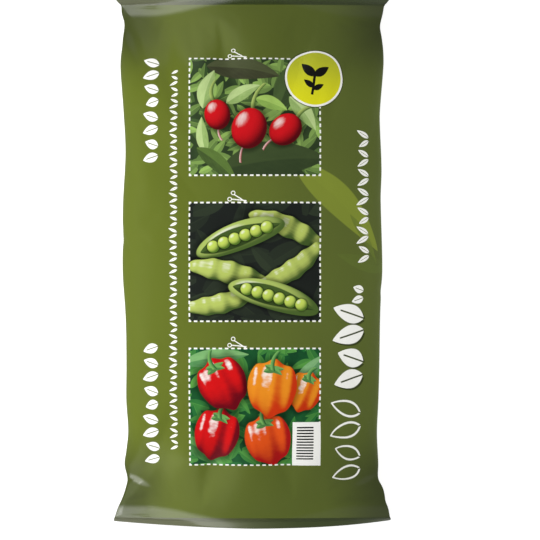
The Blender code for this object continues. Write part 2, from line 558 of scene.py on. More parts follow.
def open_pod(x: float, y: float, half_length: float, turn: float, peas: int) -> tuple[Motif, ...]:
    """Draws an open pea pod with its peas in a row.

    Args:
        x: across from the picture's middle.
        y: up from it.
        half_length: half its length.
        turn: which way it lies, in degrees.
        peas: how many peas it shows.

    Returns:
        The motifs, from the back.
    """
    light, deep, dark = ink(172, 192, 100), ink(74, 98, 44), ink(30, 44, 20)
    pea_light, pea_deep = ink(196, 216, 96), ink(84, 116, 40)
    pea = half_length * 0.72 / peas
    outer, inner = (half_length, half_length * 0.30), (half_length * 0.9, half_length * 0.21)
    shell = Motif(Shape.FRUIT, (x, y), outer, turn, light, deep, 0.2)
    inside = Motif(Shape.LEAF, (x, y), inner, turn, deep, dark, 0.2)
    row = []
    for i in range(peas):
        place = Vector((x, y)) + heading(turn) * pea * 2 * (i - (peas - 1) / 2)
        row.append(Motif(Shape.FRUIT, tuple(place), (pea * 1.08,) * 2, turn, pea_light, pea_deep))
    return (shell, inside, *row)


def pepper(
    x: float, y: float, half_size: Pair, turn: float, light: Colour, deep: Colour
) -> tuple[Motif, ...]:
    """Draws a bell pepper with its green stalk.

    Args:
        x: across from the picture's middle.
        y: up from it.
        half_size: half its width and height.
        turn: how far it leans, in degrees.
        light: its colour in the light.
        deep: its colour in the shade.

    Returns:
        The motifs, from the back.
    """
    half_width, half_height = half_size
    way = heading(turn + 90)
    crown = Vector((x, y)) + way * half_height * 0.62
    stalk = crown + way * half_height * 0.30
    green, dark = ink(120, 178, 96), ink(26, 84, 44)
    return (
        Motif(Shape.FRUIT, (x, y), half_size, turn, light, deep, lobes=2.6, shine=0.9),
        Motif(Shape.LEAF, tuple(crown), (half_width * 0.42, 6.5), turn + 12, green, dark, 0.3),
        Motif(Shape.LEAF, tuple(crown), (half_width * 0.40, 6.0), turn - 24, green, dark, 0.3),
        Motif(Shape.STALK, tuple(stalk), (half_height * 0.34, 4.6), turn + 78, green, dark, 1.2),
    )


def leaf(x: float, y: float, half_size: Pair, turn: float, light: Colour, deep: Colour) -> Motif:
    """Draws a leaf, a little bent."""
    return Motif(Shape.LEAF, (x, y), half_size, turn, light, deep, 0.25)


PALE_LEAF, MID_LEAF, DARK_LEAF = ink(196, 218, 150), ink(112, 150, 66), ink(44, 58, 36)
RED, DEEP_RED = ink(208, 20, 22), ink(104, 8, 22)
ORANGE, DEEP_ORANGE = ink(232, 142, 34), ink(196, 52, 16)

PICTURES = {
    Ink.UPPER_PICTURE: Picture(
        centre_y=250.3,
        leaf_light=ink(150, 186, 96),
        leaf_deep=ink(58, 82, 44),
        gap=ink(34, 40, 30),
        leaf_size=34.0,
        motifs=(
            leaf(-20, 84, (66, 22), -8, ink(84, 92, 60), ink(46, 44, 34)),
            leaf(64, 62, (58, 22), 62, ink(78, 100, 56), ink(40, 54, 34)),
            leaf(-84, 48, (36, 15), 74, PALE_LEAF, MID_LEAF),
            leaf(-22, 40, (34, 13), 28, PALE_LEAF, MID_LEAF),
            leaf(86, 6, (38, 15), -52, PALE_LEAF, MID_LEAF),
            leaf(30, 22, (30, 12), -20, ink(170, 204, 104), MID_LEAF),
            leaf(-92, -34, (32, 11), 96, PALE_LEAF, MID_LEAF),
            leaf(34, -80, (96, 34), 6, ink(64, 80, 46), DARK_LEAF),
            leaf(-66, -84, (46, 15), -40, ink(96, 124, 58), DARK_LEAF),
            *radish(-66, 2, 25, 98),
            *radish(54, -24, 29, 40),
            *radish(-10, -22, 34, 74),
        ),
    ),
    Ink.MIDDLE_PICTURE: Picture(
        centre_y=-7.0,
        leaf_light=ink(50, 60, 44),
        leaf_deep=ink(34, 40, 34),
        gap=ink(26, 28, 28),
        leaf_size=70.0,
        motifs=(
            pod(58, 58, 74, -24, 0.5),
            pod(-58, -70, 70, 14, -0.4),
            *open_pod(-26, 44, 84, 20, 6),
            pod(-44, -22, 78, -14, 0.4),
            pod(66, -10, 70, 34, -0.5),
            *open_pod(34, -62, 84, -16, 6),
        ),
    ),
    Ink.LOWER_PICTURE: Picture(
        centre_y=-264.3,
        leaf_light=ink(96, 164, 72),
        leaf_deep=ink(34, 104, 52),
        gap=ink(16, 44, 32),
        leaf_size=40.0,
        motifs=(
            leaf(-70, 88, (60, 15), 8, ink(134, 186, 118), ink(40, 116, 62)),
            leaf(96, 62, (44, 14), 50, ink(140, 190, 130), ink(40, 112, 66)),
            leaf(-92, -80, (50, 17), -38, ink(110, 172, 92), ink(26, 88, 46)),
            *pepper(88, 28, (31, 38), -20, ORANGE, DEEP_ORANGE),
            *pepper(24, -58, (41, 50), 12, ink(226, 84, 26), ink(168, 22, 22)),
            *pepper(-68, -48, (40, 50), -14, RED, DEEP_RED),
            *pepper(-56, 42, (43, 51), 26, RED, DEEP_RED),
            *pepper(30, 34, (44, 54), -6, ORANGE, DEEP_ORANGE),
        ),
    ),
}


class Socket(Enum):
    """The kinds of sockets on a node group."""

    COLOUR = "NodeSocketColor"
    VALUE = "NodeSocketFloat"
    VECTOR = "NodeSocketVector"


@dataclass
class Wiring:
    """A node tree while it is wired. Methods that give a wire add the nodes that it comes from."""

    tree: bpy.types.NodeTree

    def node(self, kind: str, **settings: object) -> bpy.types.Node:
        """Adds a node.

        Args:
            kind: its type.
            settings: its properties by name.

        Returns:
            The node.
        """
        made = self.tree.nodes.new(kind)
        for name, value in settings.items():
            setattr(made, name, value)
        return made

    def feed(self, socket: Wire, value: Feed) -> None:
        """Links a socket to another, or sets its value.

        Args:
            socket: the socket.
            value: the other socket, or the value.
        """
        if isinstance(value, Wire):
            self.tree.links.new(value, socket)
        else:
            socket.default_value = value

    def put(self, kind: str, feeds: dict, output: int | str = 0, **settings: object) -> Wire:
        """Adds a node and feeds it.

        Args:
            kind: its type.
            feeds: what its inputs get, by number or name.
            output: which output is wanted.
            settings: its properties by name.

        Returns:
            That output.
        """
        made = self.node(kind, **settings)
        for name, value in feeds.items():
            self.feed(made.inputs[name], value)
        return made.outputs[output]

    def math(self, operation: str, *values: Feed) -> Wire:
        """Works out a value."""
        return self.put("ShaderNodeMath", dict(enumerate(values)), operation=operation)

    def plus(self, *values: Feed) -> Wire:
        """Adds values."""
        return reduce(lambda total, value: self.math("ADD", total, value), values)

    def less(self, value: Feed, taken: Feed) -> Wire:
        """Takes one value from another."""
        return self.math("SUBTRACT", value, taken)

    def rest(self, share: Feed) -> Wire:
        """Gives what a share leaves of 1."""
        return self.less(1.0, share)

    def times(self, *values: Feed) -> Wire:
        """Multiplies values, or keeps what covers share."""
        return reduce(lambda product, value: self.math("MULTIPLY", product, value), values)

    def per(self, value: Feed, divisor: Feed) -> Wire:
        """Divides one value by another."""
        return self.math("DIVIDE", value, divisor)

    def size(self, value: Feed) -> Wire:
        """Gives a value without its sign."""
        return self.math("ABSOLUTE", value)

    def either(self, *covers: Feed) -> Wire:
        """Joins covers."""
        return reduce(lambda joint, cover: self.math("MAXIMUM", joint, cover), covers)

    def phase(self, value: Feed) -> Wire:
        """Gives how far a value is from the middle between two whole numbers."""
        return self.size(self.less(self.math("FRACT", value), 0.5))

    def fade(self, value: Feed, start: Feed, end: Feed) -> Wire:
        """Goes smoothly from 0 where value is start to 1 where it is end."""
        feeds = {"Value": value, "From Min": start, "From Max": end}
        return self.put("ShaderNodeMapRange", feeds, interpolation_type="SMOOTHSTEP")

    def within(self, value: Feed, half: float, softness: float = EDGE_SOFTNESS) -> Wire:
        """Covers where value is nearer to 0 than half is."""
        return self.fade(self.size(value), half + softness, half - softness)

    def vector(self, operation: str, *values: Feed) -> Wire:
        """Works out a vector, or a dot product or a length."""
        output = "Value" if operation in ("DOT_PRODUCT", "LENGTH") else "Vector"
        return self.put("ShaderNodeVectorMath", dict(enumerate(values)), output, operation=operation)

    def scaled(self, vector: Feed, factor: Feed) -> Wire:
        """Scales a vector or a colour."""
        feeds = {"Vector": vector, "Scale": factor}
        return self.put("ShaderNodeVectorMath", feeds, "Vector", operation="SCALE")

    def turned(self, vector: Feed, angle: Feed) -> Wire:
        """Turns a vector about Z by an angle in radians."""
        feeds = {"Vector": vector, "Angle": angle}
        return self.put("ShaderNodeVectorRotate", feeds, rotation_type="Z_AXIS")

    def split(self, vector: Feed) -> tuple[Wire, Wire]:
        """Takes a vector's X and Y."""
        x = self.put("ShaderNodeSeparateXYZ", {0: vector})
        return x, x.node.outputs["Y"]

    def joined(self, x: Feed, y: Feed, z: Feed = 0.0) -> Wire:
        """Makes a vector."""
        return self.put("ShaderNodeCombineXYZ", dict(enumerate((x, y, z))))

    def from_point(self, point: Feed, centre: Feed) -> Wire:
        """Gives the way from a centre to a point."""
        return self.vector("SUBTRACT", point, centre)

    def placed(self, point: Feed, centre: Feed, half_size: Feed, turn: Feed) -> Wire:
        """Turns a point on the film into one on a shape, which reaches from -1 to 1."""
        upright = self.turned(self.from_point(point, centre), self.times(turn, -1.0))
        return self.vector("DIVIDE", upright, half_size)

    def noise(self, vector: Feed, scale: float, detail: float = 2.0) -> Wire:
        """Reads a soft noise."""
        feeds = {"Vector": vector, "Scale": scale, "Detail": detail}
        return self.put("ShaderNodeTexNoise", feeds, "Fac")

    def mix(self, cover: Feed, under: Feed, over: Feed) -> Wire:
        """Lays a colour over another."""
        return self.put("ShaderNodeMix", {0: cover, 6: under, 7: over}, 2, data_type="RGBA")

    def after(self, point: Feed, colour: Feed) -> Wire:
        """Gives the point on, to be read once the colour is worked out.

        A renderer works out all it can at once and has room for few values, so a long print that
        is laid on shape by shape has to wait for each. The point moves by a millionth of a millimetre.

        Args:
            point: the point.
            colour: what has to be worked out before.

        Returns:
            The same point.
        """
        return self.vector("MULTIPLY_ADD", colour, (1e-6, 1e-6, 0.0), point)

    def use(self, group: "Group", **feeds: Feed) -> Wire:
        """Adds a node group. The feeds have its inputs' names in small letters."""
        named = {name.replace("_", " ").title(): value for name, value in feeds.items()}
        return self.put("ShaderNodeGroup", named, node_tree=group.tree)


@dataclass
class Group:
    """A shader node group with named inputs and one output."""

    name: str
    inputs: dict[str, Socket]
    output: Socket

    def __post_init__(self) -> None:
        """Makes the empty group and its sockets."""
        self.tree = bpy.data.node_groups.new(self.name, "ShaderNodeTree")
        sockets = self.tree.interface
        for label, kind in self.inputs.items():
            sockets.new_socket(label, in_out="INPUT", socket_type=kind.value)
        label = self.output.name.title()
        sockets.new_socket(label, in_out="OUTPUT", socket_type=self.output.value)
        self.wiring = Wiring(self.tree)
        self.given = self.wiring.node("NodeGroupInput").outputs
        self.result = self.wiring.node("NodeGroupOutput").inputs[0]

    def gives(self, value: Wire) -> "Group":
        """Links what the group puts out."""
        self.wiring.feed(self.result, value)
        return self


POINT_INPUT = {"Point": Socket.VECTOR}
MARK_INPUTS = POINT_INPUT | {"Centre": Socket.VECTOR}
LAYER_INPUTS = POINT_INPUT | {"Under": Socket.COLOUR}
SHAPE_INPUTS = LAYER_INPUTS | {
    "Centre": Socket.VECTOR,
    "Half Size": Socket.VECTOR,
    "Turn": Socket.VALUE,
    "Light": Socket.COLOUR,
    "Deep": Socket.COLOUR,
    "Bend": Socket.VALUE,
    "Lobes": Socket.VALUE,
    "Shine": Socket.VALUE,
}
FOLIAGE_INPUTS = POINT_INPUT | {
    "Leaf Size": Socket.VALUE,
    "Light": Socket.COLOUR,
    "Deep": Socket.COLOUR,
    "Gap": Socket.COLOUR,
}
ROW_INPUTS = MARK_INPUTS | {
    name: Socket.VALUE
    for name in ("Half Length", "Half Height", "Pitch", "Lean", "Fatness", "Hollow")
}


@dataclass(frozen=True)
class FruitLook:
    """How a printed fruit is shaped and lit. Places on it reach from -1 to 1, and pairs are fades."""

    sun: Triple = (-0.42, 0.45, 0.79)
    bend_back: float = 0.4
    dent: float = 0.07
    taper: float = -0.13
    lean_across: float = 0.8
    lean_up: float = 0.85
    lobe_lean: float = 0.5
    streaks: Triple = (1.5, 4.0, 1.0)
    streak_scale: float = 1.5
    streakiness: float = 0.08
    lobed_streakiness: float = 0.17
    lit: Pair = (0.05, 0.9)
    gleam: Pair = (0.90, 1.05)
    shadow: Pair = (1.7, 0.9)
    shadow_depth: float = 0.55
    rim: Pair = (1.0, 0.94)


@dataclass(frozen=True)
class LeafLook:
    """How a printed leaf is shaped and veined. Places on it reach from -1 to 1, and pairs are fades."""

    bend_back: float = 0.4
    roundness: float = 0.85
    taper: float = 0.28
    least_width: float = 0.001
    rim: Pair = (1.0, 0.9)
    tips: Pair = (1.0, 0.985)
    veins: float = 4.5
    vein_slant: float = -3.0
    vein: Pair = (0.1, 0.0)
    vein_strength: float = 0.35
    midrib: Pair = (0.09, 0.03)
    line_strength: float = 0.55
    halves: Pair = (-0.06, 0.06)
    half_tone: float = 0.45
    tone: float = 0.12
    mottle_scale: float = 2.2
    mottle: float = 0.5


@dataclass(frozen=True)
class StalkLook:
    """How a printed stalk tapers and is shaded. Places on it reach from -1 to 1, and pairs are fades."""

    bend_back: float = 0.5
    width: float = 0.85
    taper: float = 0.15
    shade: Pair = (-1.0, 0.8)
    rim: Pair = (1.0, 0.8)
    tips: Pair = (1.0, 0.96)


@dataclass(frozen=True)
class FoliageLook:
    """How small leaves fill a picture's background, one leaf in each cell of a layer.

    A layer is its shift, a leaf's half length in cells, and how light it is. Pairs are fades.
    """

    layers: Table = ((3.1, 0.62, 0.55), (7.7, 0.56, 0.8), (12.4, 0.5, 1.0))
    shift_up: float = 0.7
    slimness: float = 0.36
    gap_scale: float = 1.4
    halves: Pair = (-0.1, 0.1)
    half_tone: float = 0.3
    tone_spread: float = 0.8
    midrib: Pair = (0.10, 0.03)
    midrib_strength: float = 0.4


@dataclass(frozen=True)
class RowLook:
    """How the leaves of a row differ in size, and where they are slit or hollow. Pairs are fades."""

    least_size: float = 0.78
    size_spread: float = 0.22
    slit: Pair = (0.05, 0.12)
    slit_end: Pair = (0.5, 0.6)
    hollow_size: Pair = (0.86, 0.74)
    hollow: Pair = (0.0, 0.5)
    end_softness: float = 0.4


@dataclass(frozen=True)
class ScissorsMark:
    """The small scissors on a cut line, in millimetres from the mark's middle."""

    loops: tuple[Pair, ...] = ((-8.4, 8.6), (-14.6, -2.4))
    loop_radius: float = 3.2
    loop_width: float = 1.5
    blades: tuple[tuple[Pair, Pair], ...] = (
        ((-6.6, 5.8), (14.5, -7.6)),
        ((-11.2, -2.4), (15.5, -5.0)),
    )
    blade_width: float = 2.2


@dataclass
class PrintShapes:
    """The node groups that the print is drawn with, each made once."""

    fruit_look: FruitLook = FruitLook()
    leaf_look: LeafLook = LeafLook()
    stalk_look: StalkLook = StalkLook()
    foliage_look: FoliageLook = FoliageLook()
    row_look: RowLook = RowLook()
    scissors_mark: ScissorsMark = ScissorsMark()
    bar_tips: Pair = (1.0, 0.95)
    bar_rim: Pair = (1.0, 0.7)

    def __post_init__(self) -> None:
        """Makes the groups."""
        self.shapes = {
            Shape.FRUIT: self.fruit_group(),
            Shape.LEAF: self.leaf_group(),
            Shape.STALK: self.stalk_group(),
        }
        self.foliage = self.foliage_group()
        self.leaf_row = self.leaf_row_group()
        self.cut_line = self.cut_line_group()
        self.scissors = self.scissors_group()

    def bent(self, group: Group, back: float) -> tuple[Wire, Wire, Wire]:
        """Places a shape's group and bends it.

        Args:
            group: the group, with the shapes' inputs.
            back: the share of the bend that is taken back at the middle.

        Returns:
            X and Y on the shape, and the point they make.
        """
        w, given = group.wiring, group.given
        x, y = w.split(w.placed(given["Point"], given["Centre"], given["Half Size"], given["Turn"]))
        y = w.plus(y, w.times(w.less(w.times(x, x), back), given["Bend"]))
        return x, y, w.joined(x, y)

    def leaf_cover(self, w: Wiring, x: Feed, y: Feed) -> Wire:
        """Covers a pointed leaf from x = -1, its base, to x = 1.

        Args:
            w: the wiring of the group it is in.
            x: along the leaf.
            y: off its midrib.

        Returns:
            The cover.
        """
        look = self.leaf_look
        swell = w.math("MAXIMUM", w.rest(w.times(x, x)), 0.0)
        swell = w.math("POWER", swell, look.roundness)
        width = w.plus(w.times(swell, w.rest(w.times(x, look.taper))), look.least_width)
        share = w.per(w.size(y), width)
        return w.times(w.fade(share, *look.rim), w.fade(w.size(x), *look.tips))

    def fruit_group(self) -> Group:
        """Makes the group of a round, shiny fruit, bent and lobed where asked.

        Returns:
            The group.
        """
        group = Group("printed fruit", SHAPE_INPUTS, Socket.COLOUR)
        w, given, look = group.wiring, group.given, self.fruit_look
        x, y, point = self.bent(group, look.bend_back)
        wave = w.times(x, given["Lobes"], math.pi)
        any_lobes = w.fade(given["Lobes"], 0.0, 1.0)
        lobed = w.times(w.math("SINE", wave), any_lobes)
        dent = w.times(w.rest(w.math("COSINE", wave)), look.dent)
        taper = w.times(y, any_lobes, look.taper)
        shaped = w.joined(w.math("MULTIPLY_ADD", x, taper, x), w.math("MULTIPLY_ADD", y, dent, y))
        out = w.vector("DOT_PRODUCT", shaped, shaped)
        dome = w.math("SQRT", w.math("MAXIMUM", w.rest(out), 0.0))
        lean = w.plus(w.times(x, look.lean_across), w.times(lobed, look.lobe_lean))
        facing = w.vector("NORMALIZE", w.joined(lean, w.times(y, look.lean_up), dome))
        lit = w.vector("DOT_PRODUCT", facing, w.turned(look.sun, w.times(given["Turn"], -1.0)))
        streak = w.noise(w.vector("MULTIPLY", point, look.streaks), look.streak_scale)
        uneven = w.math("MULTIPLY_ADD", any_lobes, look.lobed_streakiness, look.streakiness)
        lit = w.plus(lit, w.times(w.less(streak, 0.5), uneven))
        colour = w.mix(w.fade(lit, *look.lit), given["Deep"], given["Light"])
        colour = w.mix(w.times(w.fade(lit, *look.gleam), given["Shine"]), colour, WHITE)
        shadow = w.times(w.fade(out, *look.shadow), look.shadow_depth)
        under = w.scaled(given["Under"], w.rest(shadow))
        return group.gives(w.mix(w.fade(out, *look.rim), under, colour))

    def leaf_group(self) -> Group:
        """Makes the group of a leaf with a midrib, side veins and a darker half.

        Returns:
            The group.
        """
        group = Group("printed leaf", SHAPE_INPUTS, Socket.COLOUR)
        w, given, look = group.wiring, group.given, self.leaf_look
        x, y, point = self.bent(group, look.bend_back)
        off = w.size(y)
        slant = w.plus(w.times(x, look.veins), w.times(off, look.vein_slant))
        vein = w.times(w.fade(w.phase(slant), *look.vein), look.vein_strength)
        side = w.plus(w.times(w.fade(y, *look.halves), look.half_tone), look.tone)
        mottle = w.times(w.noise(point, look.mottle_scale), look.mottle)
        colour = w.mix(w.plus(side, mottle), given["Deep"], given["Light"])
        lines = w.either(w.fade(off, *look.midrib), vein)
        colour = w.mix(w.times(lines, look.line_strength), colour, given["Light"])
        return group.gives(w.mix(self.leaf_cover(w, x, y), given["Under"], colour))

    def stalk_group(self) -> Group:
        """Makes the group of a stalk, thinner at its far end.

        Returns:
            The group.
        """
        group = Group("printed stalk", SHAPE_INPUTS, Socket.COLOUR)
        w, given, look = group.wiring, group.given, self.stalk_look
        x, y, _ = self.bent(group, look.bend_back)
        share = w.per(y, w.less(look.width, w.times(x, look.taper)))
        colour = w.mix(w.fade(share, *look.shade), given["Deep"], given["Light"])
        inside = w.times(w.fade(w.size(share), *look.rim), w.fade(w.size(x), *look.tips))
        return group.gives(w.mix(inside, given["Under"], colour))

    def foliage_group(self) -> Group:
        """Makes the group of a dense background of small leaves in layers.

        Returns:
            The group.
        """
        group = Group("printed foliage", FOLIAGE_INPUTS, Socket.COLOUR)
        w, given, look = group.wiring, group.given, self.foliage_look
        scaled = w.scaled(given["Point"], w.per(1.0, given["Leaf Size"]))
        colour = w.mix(w.noise(scaled, look.gap_scale), given["Gap"], given["Deep"])
        for shift, length, strength in look.layers:
            moved = w.vector("ADD", scaled, (shift, shift * look.shift_up, 0.0))
            feeds = {"Vector": moved, "Scale": 1.0}
            cells = w.put("ShaderNodeTexVoronoi", feeds, "Color", voronoi_dimensions="2D")
            chance, tone = w.split(cells)
            away = w.from_point(moved, cells.node.outputs["Position"])
            local = w.turned(away, w.times(chance, 2 * math.pi))
            x, y = w.split(w.vector("DIVIDE", local, (length, length * look.slimness, 1.0)))
            side = w.times(w.fade(y, *look.halves), look.half_tone)
            tint = w.times(w.plus(side, w.times(tone, look.tone_spread)), strength)
            blade = w.mix(tint, given["Deep"], given["Light"])
            midrib = w.times(w.fade(w.size(y), *look.midrib), look.midrib_strength)
            blade = w.mix(midrib, blade, given["Light"])
            colour = w.mix(self.leaf_cover(w, x, y), colour, blade)
        return group.gives(colour)

    def leaf_row_group(self) -> Group:
        """Makes the group of a row of upright leaves that runs up the bag.

        Returns:
            The group.
        """
        group = Group("leaf row", ROW_INPUTS, Socket.VALUE)
        w, given, look = group.wiring, group.given, self.row_look
        pitch, half_length, half_height = (given[name] for name in ("Pitch", "Half Length", "Half Height"))
        across, along = w.split(w.from_point(given["Point"], given["Centre"]))
        steps = w.per(w.plus(along, half_length), pitch)
        cell = w.math("FLOOR", steps)
        odd = w.times(w.less(w.math("MODULO", cell, 2.0), 0.5), 2.0)
        away = w.times(w.less(w.math("FRACT", steps), 0.5), pitch)
        chance = w.put("ShaderNodeTexWhiteNoise", {"W": cell}, "Value", noise_dimensions="1D")
        size = w.plus(look.least_size, w.times(chance, look.size_spread))
        low = w.times(w.rest(size), half_height)
        leaf_point = w.joined(w.less(across, low), away)
        x, y = w.split(w.turned(leaf_point, w.times(odd, given["Lean"])))
        x = w.per(w.times(x, -1.0), w.times(half_height, size))
        y = w.per(y, w.times(pitch, given["Fatness"]))
        cover = self.leaf_cover(w, x, y)
        slit = w.either(w.fade(w.size(y), *look.slit), w.fade(x, *look.slit_end))
        inner_length, inner_width = look.hollow_size
        inner = self.leaf_cover(w, w.per(x, inner_length), w.per(y, inner_width))
        solid = w.rest(w.times(inner, w.fade(given["Hollow"], *look.hollow)))
        inside = w.fade(w.size(along), half_length, w.less(half_length, look.end_softness))
        return group.gives(w.times(cover, slit, solid, inside))

    def cut_line_group(self) -> Group:
        """Makes the group of the dashed line to cut along.

        Returns:
            The group.
        """
        group = Group("cut line", MARK_INPUTS, Socket.VALUE)
        w, given = group.wiring, group.given
        off, dashes = [], []
        gap = (1 - FRAME.dash_share) / 2
        places = w.split(w.from_point(given["Point"], given["Centre"]))
        for place, half, count in zip(places, FRAME.half_size, FRAME.dashes):
            off.append(w.less(w.size(place), half))
            turns = w.plus(w.times(place, count / (2 * half)), count / 2)
            dash = w.fade(w.phase(turns), gap - FRAME.dash_softness, gap + FRAME.dash_softness)
            dashes.append(dash)
        line = w.within(w.math("MAXIMUM", *off), FRAME.line_width / 2, FRAME.line_softness)
        upright = w.math("GREATER_THAN", *off)
        dash = w.plus(w.times(upright, dashes[1]), w.times(w.rest(upright), dashes[0]))
        return group.gives(w.times(line, dash))

    def bar(self, w: Wiring, point: Feed, start: Pair, end: Pair, width: float) -> Wire:
        """Covers a straight bar between two places.

        Args:
            w: the wiring of the group it is in.
            point: the point on the print.
            start: one end of the bar.
            end: the other end.
            width: its width.

        Returns:
            The cover.
        """
        run = Vector(end) - Vector(start)
        middle = (Vector(end) + Vector(start)) / 2
        half_size = (run.length / 2, width / 2, 1.0)
        x, y = w.split(w.placed(point, (*middle, 0.0), half_size, math.atan2(run.y, run.x)))
        return w.times(w.fade(w.size(x), *self.bar_tips), w.fade(w.size(y), *self.bar_rim))

    def scissors_group(self) -> Group:
        """Makes the group of the small scissors mark on the cut line.

        Returns:
            The group.
        """
        group = Group("scissors", MARK_INPUTS, Socket.VALUE)
        w, mark = group.wiring, self.scissors_mark
        point = w.from_point(group.given["Point"], group.given["Centre"])
        covers = []
        for centre in mark.loops:
            out = w.vector("LENGTH", w.from_point(point, (*centre, 0.0)))
            covers.append(w.within(w.less(out, mark.loop_radius), mark.loop_width / 2))
        for start, end in mark.blades:
            covers.append(self.bar(w, point, start, end, mark.blade_width))
        return group.gives(w.either(*covers))

    def laid(self, w: Wiring, motif: Motif, under: Feed, point: Feed) -> Wire:
        """Lays a shape over a colour.

        Args:
            w: the wiring.
            motif: the shape.
            under: the colour.
            point: the point, from where the motif's place is measured.

        Returns:
            The colour with the shape.
        """
        return w.use(
            self.shapes[motif.shape],
            under=under,
            point=w.after(point, under),
            centre=(*motif.at, 0.0),
            half_size=(*motif.half_size, 1.0),
            turn=math.radians(motif.turn),
            light=motif.light,
            deep=motif.deep,
            bend=motif.bend,
            lobes=motif.lobes,
            shine=motif.shine,
        )


@dataclass(frozen=True)
class Olive:
    """The olive ground's colours, with painted shade and a painted sheen, and where they fade into each
    other, in millimetres.
    """

    # Painted shade: the olive fades from the left colour to a darker right one, for the side that faces away
    # from the lamps.
    left: Colour = ink(98, 110, 38)
    right: Colour = ink(91, 103, 49)
    sides: Pair = (245.0, -245.0)
    mottle_scale: float = 0.006
    mottle: float = 0.2
    # Painted shade in the corners: its colour, its strength, and where it fades in across and along the bag.
    corner: Colour = ink(52, 57, 39)
    corner_shade_share: float = 0.7
    corner_shade_across: Pair = (125.0, 240.0)
    corner_shade_along: Pair = (285.0, 420.0)
    # Painted shade on the fins, turning to a painted sheen towards their left ends: the shade's colour, the
    # sheen's colour, where the sheen fades in across the top fin and the bottom one, and how far inside and
    # beyond a seal line the fins' colour fades in.
    weld: Colour = ink(62, 74, 34)
    fin_sheen: Colour = ink(113, 117, 86)
    top_fin_sheen_across: Pair = (-70.0, -150.0)
    bottom_fin_sheen_across: Pair = (110.0, -170.0)
    fin_shade_before: float = 1.0
    fin_shade_beyond: float = 1.5


@dataclass(frozen=True)
class Roundel:
    """The yellow disc with a sprout. Sizes are in millimetres, and the sprout's from the middle."""

    centre: Pair = (111.2, 318.8)
    radius: float = 52.4
    ring_width: float = 3.6
    edge_width: float = 2.6
    edge: Colour = ink(46, 54, 26)
    upper: Colour = ink(184, 190, 52)
    lower: Colour = ink(228, 226, 34)
    turn: float = 82.0
    stem: tuple[Pair, Pair] = ((-32.0, 1.0), (12.0, 0.0))
    stem_width: float = 5.4
    leaves: tuple[tuple[Pair, Pair, float], ...] = (
        ((13.0, 12.5), (17.0, 8.6), 52.0),
        ((13.0, -11.0), (15.5, 8.0), -50.0),
        ((-12.0, 9.0), (11.0, 5.4), 58.0),
        ((-16.0, -8.5), (10.5, 5.2), -56.0),
    )


@dataclass(frozen=True)
class Label:
    """The white patch with plain bars in the lowest picture's corner. Sizes are in millimetres."""

    low: Pair = (71.6, -370.3)
    high: Pair = (122.0, -289.4)
    bars_low: Pair = (79.0, -359.5)
    bars_high: Pair = (109.0, -296.5)
    bars: int = 12
    bar: Pair = (0.28, 0.22)


# The pale leaf blades behind the print on the right, each with how strongly it is printed
BLADES = (
    (Motif(Shape.LEAF, (158.0, 94.0), (112.0, 28.0), -44.0, ink(130, 144, 54), ink(126, 139, 53), 0.36), 1.0),
    (Motif(Shape.LEAF, (205.0, 34.0), (52.0, 7.0), -58.0, ink(108, 124, 50), ink(100, 116, 48), 0.5), 0.7),
    (Motif(Shape.LEAF, (206.0, -8.0), (56.0, 15.0), 168.0, ink(98, 114, 50), ink(94, 108, 48), 0.3), 0.6),
)


